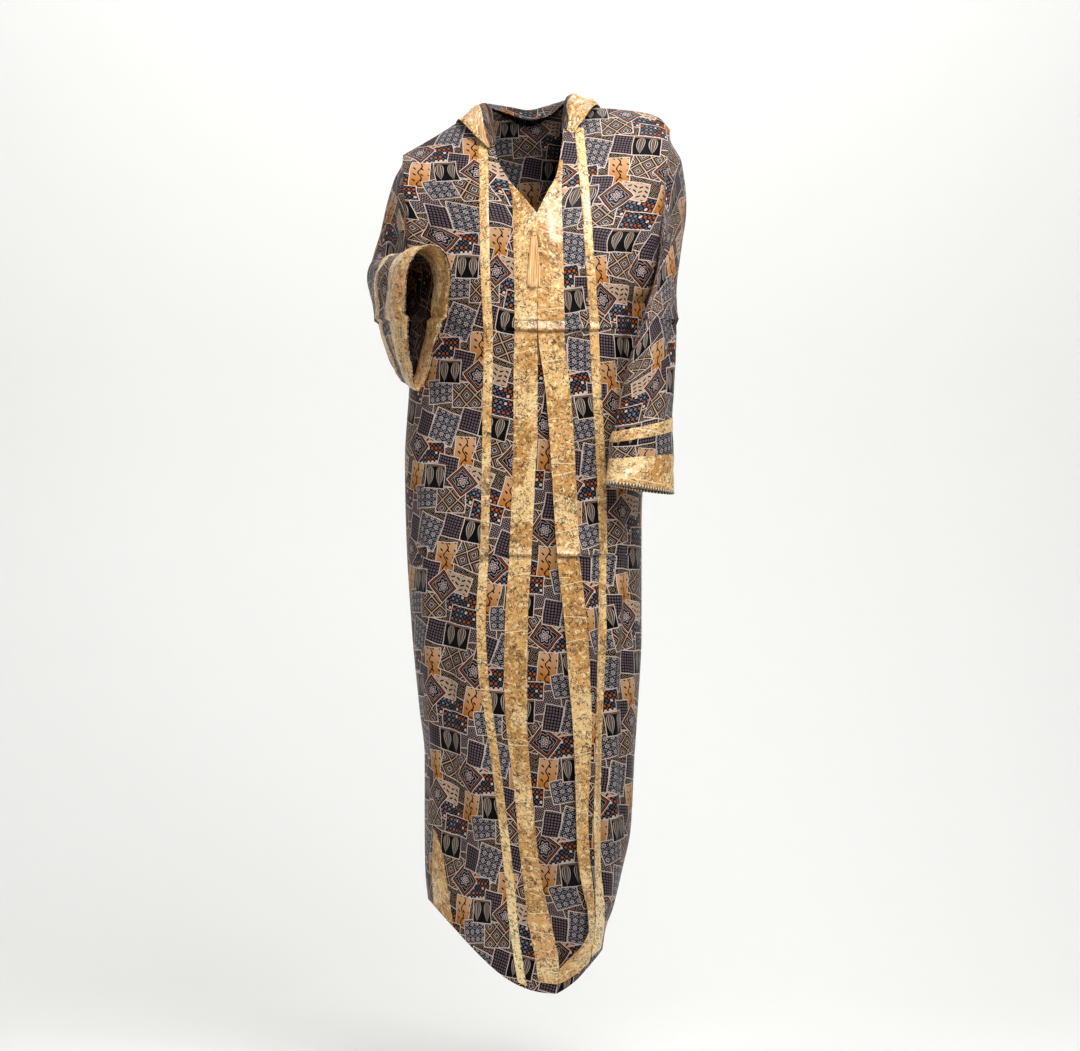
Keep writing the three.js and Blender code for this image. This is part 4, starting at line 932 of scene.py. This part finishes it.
def makeBack():
    n = bodyShape["roundness"]
    cosine = np.cos(np.linspace(0, math.pi, 400))
    share = -np.sign(cosine) * np.abs(cosine) ** (2 / n)
    rows = []
    rightHem = float(outline["right"](backEdge["hemRight"]))
    leftHem = float(outline["left"](backEdge["hemLeft"]))
    for v in np.linspace(0, 1, backEdge["rows"]):
        z = np.full(400, mix(-1250.0, 0.0, v))
        for _ in range(9):
            rightX, leftX = sideX("right", z), sideX("left", z)
            x = (rightX + leftX) / 2 + (leftX - rightX) / 2 * share
            across = np.clip((x - rightHem) / (leftHem - rightHem), 0, 1)
            low = mix(backEdge["hemRight"], backEdge["hemLeft"], across)
            low = low - backEdge["hemSag"] * np.sin(math.pi * across)
            neck = np.clip(np.abs(x + 10) / backEdge["neckHalf"], 0, 1)
            high = mix(backEdge["neckMiddle"], shoulderAt(x), smooth(neck))
            z = mix(low, high, v)
        line = bodySurface(1, x, z)
        run = lengthsAlong(line)
        even = np.linspace(0, run[-1], backEdge["columns"])
        rows.append(bodySurface(1, np.interp(even, run, x), np.interp(even, run, z)))
    grid = np.array(rows)
    grid[:, 0, 1] = np.maximum(grid[:, 0, 1], -0.3)
    grid[:, -1, 1] = np.maximum(grid[:, -1, 1], -0.3)
    uv = clothMap(grid, 3, (20, 90))[:, ::-1]
    made = makeCloth("backPanel", grid[:, ::-1], uv, [printedSatin, satinReverse])
    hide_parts("back")
    declareSheet(made, grid)
    print("back made:", grid.shape)


makeBack()

# Rings from armhole to cuff: both ends of the long axis, half the other axis, pinch and turn.
ringNames = "topX topY topZ lowX lowY lowZ wide pinch turn"
sleeves = {
    "right": {
        "rings": [
            (-207, 0, -60, -193, 0, -296, 70, 0, -90), (-221, 4, -100, -204, -6, -322, 68, 0.1, -84),
            (-232, 8, -146, -211, -16, -348, 61, 0.4, -72), (-240, 6, -190, -214, -36, -374, 53, 0.8, -58),
            (-242, -8, -220, -213, -62, -394, 50, 1.1, -44), (-234, -50, -226, -210, -98, -408, 51, 1.1, -32),
            (-216, -104, -221, -204, -138, -418, 54, 1.1, -20), (-195, -150, -216, -194, -172, -426, 56, 1.1, -13),
            (-178, -186, -213, -187, -202, -431, 56, 1.1, -7), (-166, -208, -212, -182, -217, -433, 54, 1.15, -5),
            (-157, -222, -211, -178, -228, -434, 52, 1.2, -4),
        ],
        "tape": (5.75, 6.25), "cuff": (7.15, 9.85), "way": -1, "turn": 12, "shift": (30, 60), "edging": False,
        "folds": [
            (1.2, -60, 4.2, 20, 0.5, -7), (2.2, -110, 5.0, -20, 0.45, 5), (0.8, 40, 3.2, 120, 0.5, -6),
            (3.8, 60, 6.4, 130, 0.45, -5), (0.4, -90, 2.6, -40, 0.3, -4), (3.0, 0, 5.6, 50, 0.3, -3),
            (1.5, 90, 4.6, 160, 0.3, -4), (4.6, -60, 7.0, -10, 0.3, -3),
        ],
    },
    "left": {
        "rings": [
            (211, 0, -20, 184, 0, -290, 70, 0, -90), (229, 2, -69, 195, -36, -316, 70, 0, -98),
            (234, 0, -135, 178, -82, -334, 60, 0, -104), (229, -10, -205, 154, -118, -360, 46, 0, -96),
            (221, -36, -275, 146, -134, -384, 37, 0, -84), (219, -54, -345, 140, -141, -412, 32, 0, -74),
            (214, -66, -420, 132, -147, -452, 32, 0, -66), (210, -75, -490, 121, -152, -510, 33, 0, -62),
            (210, -81, -545, 116, -157, -548, 34, 0, -60), (212, -85, -592, 111, -161, -575, 36, 0, -58),
        ],
        "tape": (6.72, 7.05), "cuff": (7.68, 8.92), "way": 1, "turn": -6, "shift": (120, 10), "edging": True,
        "folds": [
            (0.8, 70, 4.4, 150, 0.5, -6), (1.8, 30, 5.2, 110, 0.45, 5), (3.0, -10, 5.8, 70, 0.4, -5),
            (5.2, 10, 7.4, 120, 0.35, 4), (0.4, 20, 2.8, 60, 0.3, -4), (3.6, 90, 6.0, 170, 0.3, -4),
            (5.8, -40, 7.6, 20, 0.25, -3), (2.0, 100, 3.8, 160, 0.25, -3), (4.6, 40, 6.6, 100, 0.22, -2.5),
        ],
    },
    "columns": 120, "rowStep": 4.5, "creases": [(-323, 5.5)], "drape": 2.4,
}


def ringPoints(side, v, angle):
    spec = sleeves[side]
    at = {name: curve(v) for name, curve in tableCurves(ringNames, spec["rings"]).items()}
    top = np.stack([at["topX"], at["topY"], at["topZ"]], axis=-1)
    low = np.stack([at["lowX"], at["lowY"], at["lowZ"]], axis=-1)
    along = (top - low) / 2
    turn = np.radians(at["turn"])
    front = np.stack([np.cos(turn), np.sin(turn), 0 * turn], axis=-1)
    cosine, sine = np.cos(angle), np.sin(angle)
    wide = at["wide"] * np.exp(-at["pinch"] * (1 - cosine) / 2) * sine
    point = (top + low) / 2 + along * cosine[..., None] + front * wide[..., None]
    blend = smooth(1 - v)
    overlap = 2.4 * smooth(1 - v / 0.12)
    way = -1 if side == "right" else 1
    edge = sideX(side, point[..., 2]) + way * (0.4 - overlap)
    point[..., 0] = mix(point[..., 0], edge, blend)
    degrees = (np.degrees(angle) + 540) % 360 - 180
    lift = 0
    for ring1, angle1, ring2, angle2, width, height in spec["folds"]:
        dv, da = ring2 - ring1, (angle2 - angle1) / 40
        long = dv * dv + da * da
        t = ((v - ring1) * dv + (degrees - angle1) / 40 * da) / long
        off = ((v - ring1) * da - (degrees - angle1) / 40 * dv) / math.sqrt(long) / width
        lift = lift + height * np.exp(-off * off) * np.sin(math.pi * np.clip(t, 0, 1)) * smooth(v)
    turnNoise = np.cos(angle) * 2.2
    rolls = softNoise(81 + way, v * 1.4 + np.sin(angle) * 1.2, turnNoise + v * 0.4) * sleeves["drape"]
    rolls = rolls + 0.6 * softNoise(85 + way, v * 4.5 + np.sin(angle) * 3, turnNoise * 3)
    lift = lift + rolls * smooth(v / 0.8)
    for height, step in sleeves["creases"]:
        d = point[..., 2] - height - 1.5 * softNoise(89, np.degrees(angle) / 25, v * 0)
        lip = np.where(d > 0, np.exp(-np.abs(d) / 16), -0.4 * np.exp(-np.abs(d) / 7))
        lift = lift + step * lip * smooth(v)
    lift = lift - 0.5 * smooth(1 - v / 0.15)
    outward = unit(along) * cosine[..., None] + front * sine[..., None]
    outward = unit(outward)
    return point + outward * np.asarray(lift)[..., None]


def makeSleeve(side):
    spec = sleeves[side]
    last = len(spec["rings"]) - 1
    rings = np.array(spec["rings"], float)
    middles = (rings[:, :3] + rings[:, 3:6]) / 2
    run = lengthsAlong(middles)
    count = int(run[-1] / sleeves["rowStep"])
    evenRun = np.linspace(0, run[-1], count)
    v = np.interp(evenRun, run, np.arange(last + 1))
    angle = spec["way"] * np.linspace(0, 2 * math.pi, sleeves["columns"], endpoint=False)
    vv, aa = np.meshgrid(v, angle, indexing="ij")
    grid = ringPoints(side, vv, aa)

    def around(grid, runV):
        ring = np.concatenate([grid, grid[:, :1]], axis=1)
        u = lengthsAcross(ring)
        u = u - u[:, -1:] / 2
        uv = np.stack([u, np.broadcast_to(-runV[:, None], u.shape)], axis=-1)
        return turned(uv, spec["turn"], spec["shift"])

    name = "sleeve" + side.capitalize()
    made = makeCloth(name, grid, around(grid, evenRun), [printedSatin, satinReverse], closed=True)
    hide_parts("sleeve_" + side)
    declareSheet(made, grid, closed=True)
    trims = [
        ("sleeveTape", "sleeve_tape_", spec["tape"], True), ("cuffBand", "cuff_band_", spec["cuff"], True),
        ("cuffFacing", "cuff_facing_", spec["cuff"], False),
    ]
    for title, node, (first, end), outside in trims:
        long = np.interp(end, np.arange(last + 1), run) - np.interp(first, np.arange(last + 1), run)
        rows = np.linspace(first, end, max(6, int(long / 2.6)))
        vv, aa = np.meshgrid(rows, angle, indexing="ij")
        grid = ringPoints(side, vv, aa)
        ends = np.linspace(-1, 1, len(rows))[:, None]
        edge = 1 - np.abs(ends) ** 8
        turnSteps = np.arange(len(angle))[None, :]
        waves = softNoise(91, turnSteps * 0.55, ends * 1.4) + 0.6 * softNoise(93, turnSteps * 1.2, ends * 3)
        # the noise fades at the join of the ring, so that it closes on itself
        join = smooth(np.minimum(turnSteps, len(angle) - turnSteps) / 8)
        bump = fronts["pucker"] * waves * join * (0.4 + 0.6 * np.abs(ends))
        uv = around(grid, np.interp(rows, np.arange(last + 1), run))
        shell = trimShell(edge, (bump if outside else np.abs(bump)) * 0.8, outside)
        piece = makeCloth(title + side.capitalize(), grid, uv, [goldSatin], closed=True, **shell)
        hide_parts(node + side)
        declareSheet(piece, grid, closed=True)
    if spec["edging"]:
        makeEdgingCord(side, angle)
    print(name, "made")


edging = {"radius": 1.9, "flatness": 0.8, "sides": 8}


def makeEdgingCord(side, angle):
    # an overcast edge round the cuff, a thin ring with stitches of two colours
    last = len(sleeves[side]["rings"]) - 1
    path = ringPoints(side, np.full(len(angle), last - 0.03), angle)
    before = ringPoints(side, np.full(len(angle), last - 0.2), angle)
    down = path - before
    down = unit(down)
    tangent = np.roll(path, -1, axis=0) - np.roll(path, 1, axis=0)
    tangent = unit(tangent)
    outward = np.cross(tangent, down)
    around = np.linspace(0, 2 * math.pi, edging["sides"], endpoint=False)
    grid = np.stack([path + edging["radius"] * (np.cos(t) * down + edging["flatness"] * np.sin(t) * outward)
                     for t in around])
    count = len(angle)
    vertices = grid.reshape(-1, 3)
    run = lengthsAlong(np.concatenate([path, path[:1]]))
    faces, uvs = [], []
    for j in range(edging["sides"]):
        for i in range(count):
            k, m = (j + 1) % edging["sides"], (i + 1) % count
            faces.append((j * count + i, k * count + i, k * count + m, j * count + m))
            uvs += [(run[i], j), (run[i], j + 1), (run[i + 1], j + 1), (run[i + 1], j)]
    made = meshObject("cuffEdging" + side.capitalize(), vertices, faces, uvs, [0] * len(faces), [cuffEdging])


makeSleeve("right")
makeSleeve("left")

# From the right front corner round the neck: the seam, the ridge it rolls over, the rim and the hang.
hood = {
    "names": "seamX seamY seamZ ridgeX ridgeY ridgeZ rimX rimY rimZ hang",
    "rows": [
        (-61, -58, -47, -64, -64, -45, -73, -69, -54, 0), (-66, -24, -10, -75, -40, -6, -98, -60, -28, 0),
        (-67, 2, 13, -79, 0, 19, -120, -16, -6, 0), (-58, 26, 12, -74, 42, 22, -127, 50, -16, 70),
        (-38, 44, 6, -48, 72, 20, -94, 134, -24, 205), (-8, 54, -2, -12, 84, 16, -14, 168, -30, 270),
        (24, 46, 6, 30, 74, 24, 70, 136, -14, 205), (40, 28, 18, 56, 44, 32, 104, 52, 10, 70),
        (46, 2, 22, 58, 2, 37, 97, -8, 18, 0), (44, -22, 0, 54, -36, 12, 78, -52, -4, 0),
        (41, -46, -25, 47, -54, -21, 57, -60, -32, 0),
    ],
    "columns": 130, "along": 78, "narrowing": 0.22, "offBack": 9, "pucker": 1.1,
    "facingWidth": 42, "facingShare": 0.8, "taper": {"right": (0.3, 1.9), "left": (0.55, 1.4)},
    "bandFrom": 0.25, "bandTo": 0.75,
}


def centripetal(points, samples=40):
    # a smooth curve through points, with no loops where they lie close together
    points = np.array(points, float)
    padded = np.concatenate([[2 * points[0] - points[1]], points, [2 * points[-1] - points[-2]]])
    out = []
    for k in range(1, len(padded) - 2):
        p0, p1, p2, p3 = padded[k - 1:k + 3]
        d = [max(np.linalg.norm(b - a) ** 0.5, 1e-4) for a, b in ((p0, p1), (p1, p2), (p2, p3))]
        t1 = (p1 - p0) / d[0] - (p2 - p0) / (d[0] + d[1]) + (p2 - p1) / d[1]
        t2 = (p2 - p1) / d[1] - (p3 - p1) / (d[1] + d[2]) + (p3 - p2) / d[2]
        t1, t2 = t1 * d[1], t2 * d[1]
        t = np.linspace(0, 1, samples, endpoint=k == len(padded) - 3)[:, None]
        out.append((2 * t**3 - 3 * t**2 + 1) * p1 + (t**3 - 2 * t**2 + t) * t1 + (3 * t**2 - 2 * t**3) * p2
                   + (t**3 - t**2) * t2)
    return np.concatenate(out)


def makeHood():
    at = tableCurves(hood["names"], hood["rows"])
    columns, rims = [], []
    for s in np.linspace(0, len(hood["rows"]) - 1, hood["columns"]):
        value = {name: float(curve(s)) for name, curve in at.items()}
        seam, ridge, rim = (np.array([value[k + axis] for axis in "XYZ"]) for k in ("seam", "ridge", "rim"))
        full = min(value["hang"] / 270, 1)
        out = (rim - ridge) * np.array([1, 1, 0])

        def below(share, drop):
            p = ridge + out * share - np.array([0, 0, drop * value["hang"]])
            p[0] = mix(p[0], -12, hood["narrowing"] * full * drop)
            p[2] = min(p[2], mix(ridge[2], rim[2], share))
            if value["hang"] > 1 and p[2] < shoulderAt(p[0]):
                p[1] = max(p[1], float(bodySurface(1, p[0], p[2])[1]) + hood["offBack"])
            return p

        path = centripetal([seam, ridge, below(0.4, 0.5), below(0.66, 1), below(0.95, 0.5), rim])
        total = lengthsAlong(path)[-1]
        columns.append(evenly(path, hood["along"]))
        share = min(hood["facingWidth"] / total, hood["facingShare"])
        for end, (start, reach) in (("right", hood["taper"]["right"]), ("left", hood["taper"]["left"])):
            away = s if end == "right" else len(hood["rows"]) - 1 - s
            share = share * mix(start, 1, float(smooth(away / reach)))
        rims.append(1 - share)
    grid = np.array(columns).transpose(1, 0, 2)[:, ::-1]
    plain = np.array(rims)[::-1]
    # soft folds that run from the neck to the rim, and a crumple; still at the seam
    rows, count = grid.shape[:2]
    f, c = np.linspace(0, 1, rows)[:, None], np.linspace(0, 1, count)[None, :]
    lift = 3.4 * softNoise(101, c * 12 + f * 1.2, f * 2.4) + 1.2 * softNoise(103, c * 34, f * 7)
    grid = grid + normalsOf(grid, False) * (lift * smooth(f / 0.2))[..., None]
    across = lengthsAcross(grid)
    down = lengthsAlong(grid)
    uv = turned(np.stack([across - across[:, count // 2:count // 2 + 1], -down], axis=-1), 4, (60, 30))
    made = makeCloth("hoodShell", grid, uv, [printedSatin, satinReverse])
    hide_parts("hood")
    declareSheet(made, grid, halves=2)  # seamed down its middle

    def trim(name, first, last, outside, node, seed):
        rowsIn = 22
        keep = np.arange(int(first * count), int(last * count))
        part = np.zeros((rowsIn, len(keep), 3))
        for k, column in enumerate(keep):
            places = mix(plain[column], 1.0, np.linspace(0, 1, rowsIn)) * (rows - 1)
            for axis in range(3):
                part[:, k, axis] = np.interp(places, np.arange(rows), grid[:, column, axis])
        e = np.linspace(-1, 1, rowsIn)[:, None]
        edge = 1 - np.abs(e) ** 6
        along = lengthsAcross(part)
        waves = softNoise(seed, along / 8, e * 1.2) + 0.6 * softNoise(seed + 1, along / 3.8, e * 2.4)
        bump = hood["pucker"] * waves
        uv = turned(np.stack([along, -lengthsAlong(part)], axis=-1), 25, (seed * 11, seed * 7))
        piece = makeCloth(name, part, uv, [goldSatin], **trimShell(edge, np.maximum(bump, -0.4), outside))
        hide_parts(node)
        declareSheet(piece, part)

    trim("hoodFacing", 0, 1, False, "hood_facing", 111)
    trim("hoodBand", 1 - hood["bandTo"], 1 - hood["bandFrom"], True, "hood_band", 115)
    print("hood made:", grid.shape)


makeHood()

# The tassel: a bound head on a twisted cord, and a skirt of strands in clumps.
tassel = {
    "x": -1, "seatX": 1.5, "seatZ": -163, "headTop": -178, "headLength": 13, "headRadius": 4.2,
    "cordRadius": 1.1, "strands": 216, "clumps": 27, "length": 80, "radius": 0.36, "turns": 9,
    "rootHalf": 3.6, "tipHalf": 9.8, "rootDepth": 1.6, "tipDepth": 2.9, "standOff": 5.8, "tipOff": 5.0,
}


def tubeMesh(paths, sides, radii, capped=True):
    # tubes along paths with their own radii; returns vertices, faces and uvs
    vertices, faces, uvs = [], [], []
    for number, (path, radius) in enumerate(zip(paths, radii)):
        tangent = np.gradient(path, axis=0)
        tangent = unit(tangent)
        first = np.cross(tangent, np.array([0.3, 1.0, 0.2]))
        first = unit(first)
        second = np.cross(tangent, first)
        run = lengthsAlong(path)
        start = len(vertices)
        for k, p in enumerate(path):
            for s in range(sides):
                a = 2 * math.pi * s / sides
                vertices.append(p + radius[k] * (math.cos(a) * first[k] + math.sin(a) * second[k]))
        for k in range(len(path) - 1):
            for s in range(sides):
                a, b = start + k * sides + s, start + k * sides + (s + 1) % sides
                faces.append((a, b, b + sides, a + sides))
                u = 7 * number + s
                uvs += [(u, run[k]), (u + 1, run[k]), (u + 1, run[k + 1]), (u, run[k + 1])]
        if capped:
            faces.append(tuple(start + s for s in range(sides))[::-1])
            faces.append(tuple(start + (len(path) - 1) * sides + s for s in range(sides)))
            uvs += [(s, run[0]) for s in range(sides)] + [(s, run[-1]) for s in range(sides)]
    return np.array(vertices), faces, uvs


def makeTassel():
    t = tassel
    rng = np.random.default_rng(7)
    neck = t["headTop"] - t["headLength"]
    y = float(bodySurface(-1, t["x"], neck)[1]) - t["standOff"]
    tipY = float(bodySurface(-1, t["x"], neck - t["length"])[1]) - t["tipOff"]
    paths, radii = [], []
    clumps = [(rng.uniform(-1, 1), rng.uniform(-1, 1), rng.uniform(0, 6)) for _ in range(t["clumps"])]
    for number in range(t["strands"]):
        u, w, phase = clumps[number % t["clumps"]]
        u, w = u + rng.uniform(-0.07, 0.07), w + rng.uniform(-0.2, 0.2)
        root = np.array([t["x"] + u * t["rootHalf"], y + w * t["rootDepth"], neck + 2])
        tip = np.array([t["x"] + u * t["tipHalf"] + rng.uniform(-0.8, 0.8), tipY + w * t["tipDepth"],
                        neck - t["length"] + 3 * u * u + rng.uniform(-2.5, 2)])
        f = np.linspace(0, 1, 14)[:, None]
        path = root + (tip - root) * f
        f = f[:, 0]
        wave = 0.6 * np.sin(f * 7 + phase) + 0.2 * np.sin(f * rng.uniform(5, 12))
        path[:, 0] += np.sin(math.pi * f) * 1.3 * u + wave * f
        path[:, 1] += 0.4 * np.sin(f * 6 + 2 * phase) * f
        paths.append(path)
        radii.append(np.full(14, t["radius"]) * np.linspace(0.9, 1.15, 14))
    vertices, faces, uvs = tubeMesh(paths, 4, radii)
    # the head: a bound bulb, with the binding wound round it
    f = np.linspace(0, 1, 16)
    wide = t["headRadius"]
    profile = curveThrough([0, 0.15, 0.45, 0.75, 1], [0.9, 0.8 * wide, wide, 0.86 * wide, 0.95 * wide])
    top, tall = t["headTop"] + 1.5, t["headLength"] + 2.5
    axis = np.stack([f * 0 + t["x"], f * 0 + y, top - f * tall], axis=-1)
    more = [tubeMesh([axis], 20, [profile(f)])]
    winding = np.linspace(0, 1, 24 * t["turns"])
    a = winding * 2 * math.pi * t["turns"]
    depth = 0.22 + winding * 0.62
    r = profile(depth) + 0.25
    coil = np.stack([t["x"] + r * np.cos(a), y + r * np.sin(a), top - depth * tall], axis=-1)
    more.append(tubeMesh([coil], 5, [np.full(len(coil), 0.5)]))
    seatY = float(bodySurface(-1, t["seatX"], t["seatZ"])[1]) - 1.5 - t["cordRadius"]
    bend = [t["seatX"] * 0.4, seatY - 0.6, (t["seatZ"] + t["headTop"]) / 2]
    cord = evenly(centripetal([[t["seatX"], seatY, t["seatZ"]], bend, [t["x"], y, t["headTop"] - 3]]), 14)
    for phase in (0, math.pi):
        twist = np.linspace(0, 9, 14) + phase
        ply = cord + 0.55 * np.stack([np.cos(twist), np.sin(twist), twist * 0], axis=-1)
        more.append(tubeMesh([ply], 6, [np.full(14, 0.7)]))
    for points, quads, maps in more:
        faces += [tuple(i + len(vertices) for i in face) for face in quads]
        vertices = np.concatenate([vertices, points])
        uvs += maps
    made = meshObject("tasselStrands", vertices, faces, uvs, [0] * len(faces), [tasselViscose])
    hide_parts("tassel")
    print("tassel made:", len(faces), "faces")


makeTassel()

# The floor, the lights and the camera, in metres and watts.
studio = {
    "floorZ": -1.50, "floorColour": "#f4f4f2", "wallY": 2.6, "sweep": 1.2,
    "worldColour": "#ffffff", "worldStrength": 0.19,
    "lights": [
        {"name": "keyLight", "at": (0.46, -1.34, 0.82), "aim": (0, 0, -0.2), "size": 0.9, "watts": 34},
        {"name": "fillLight", "at": (-2.4, -2.2, 0.4), "aim": (0, 0, -0.6), "size": 2.2, "watts": 20},
        {"name": "sleeveLight", "at": (1.5, -1.1, 0.2), "aim": (0.22, -0.05, -0.34), "size": 0.6, "watts": 7},
        {"name": "wallLight", "at": (0, 0.8, 2.2), "aim": (0, 2.6, -0.7), "size": 2.4, "watts": 68},
    ],
    "distance": 9.0, "frameWidth": 1.6848, "centre": (0.0078, -0.6404), "plane": -0.04,
}


def makeStage():
    # a pale floor that sweeps up into a wall behind
    floorZ, sweep = studio["floorZ"], studio["sweep"]
    start = studio["wallY"] - sweep
    profile = [(-6.0, floorZ), (start, floorZ)]
    for k in range(1, 13):
        a = k / 12 * math.pi / 2
        profile.append((start + sweep * math.sin(a), floorZ + sweep * (1 - math.cos(a))))
    profile.append((studio["wallY"], 4.0))
    vertices = [(x, y, z) for y, z in profile for x in (-7.0, 7.0)]
    # the faces look up and to the front
    faces = [(2 * k, 2 * k + 1, 2 * k + 3, 2 * k + 2) for k in range(len(profile) - 1)]
    mesh = bpy.data.meshes.new("studioFloor")
    mesh.from_pydata(vertices, [], faces)
    mesh.shade_smooth()
    floor = bpy.data.objects.new("studioFloor", mesh)
    bpy.context.scene.collection.objects.link(floor)
    material, tree, shader = newMaterial("palePaper")  # matt background paper
    setFinish(shader, {"Base Color": linear(studio["floorColour"]), "Roughness": 0.9})
    # the paper is clear from behind, so that the dress can be looked at from every side
    side = tree.nodes.new("ShaderNodeNewGeometry")
    clear = tree.nodes.new("ShaderNodeBsdfTransparent")
    either = tree.nodes.new("ShaderNodeMixShader")
    tree.links.new(side.outputs["Backfacing"], either.inputs[0])
    tree.links.new(shader.outputs[0], either.inputs[1])
    tree.links.new(clear.outputs[0], either.inputs[2])
    output = next(node for node in tree.nodes if node.type == "OUTPUT_MATERIAL")
    tree.links.new(either.outputs[0], output.inputs[0])
    mesh.materials.append(material)


def addLight(spec):
    light = bpy.data.lights.new(spec["name"], "AREA")
    light.shape, light.size, light.energy = "DISK", spec["size"], spec["watts"]
    lamp = bpy.data.objects.new(spec["name"], light)
    lamp.location = spec["at"]
    aim = Vector(spec["aim"]) - Vector(spec["at"])
    lamp.rotation_euler = aim.to_track_quat("-Z", "Y").to_euler()
    bpy.context.scene.collection.objects.link(lamp)


makeStage()
for spec in studio["lights"]:
    addLight(spec)
world = bpy.data.worlds.new("studioWorld")
world.use_nodes = True
world.node_tree.nodes["Background"].inputs[0].default_value = linear(studio["worldColour"])
world.node_tree.nodes["Background"].inputs[1].default_value = studio["worldStrength"]
bpy.context.scene.world = world
bpy.context.scene.view_settings.view_transform = "Standard"

camera = bpy.data.objects.new("camera", bpy.data.cameras.new("camera"))
camera.location = (studio["centre"][0], studio["plane"] - studio["distance"], studio["centre"][1])
camera.rotation_euler = (math.radians(90), 0, 0)
camera.data.sensor_width = 36
camera.data.lens = 36 * studio["distance"] / studio["frameWidth"]
camera.data.clip_end = 60
bpy.context.scene.collection.objects.link(camera)
bpy.context.scene.camera = camera
print("stage, lights and camera made")

for name, size in flatSizes.items():
    print("flat cut", name, "width", size[0], "mm, length", size[1], "mm, area", size[2], "m2")
total = sum(len(o.data.polygons) for o in bpy.context.scene.objects if o.type == "MESH" and not o.hide_render)
print("faces shown:", total)
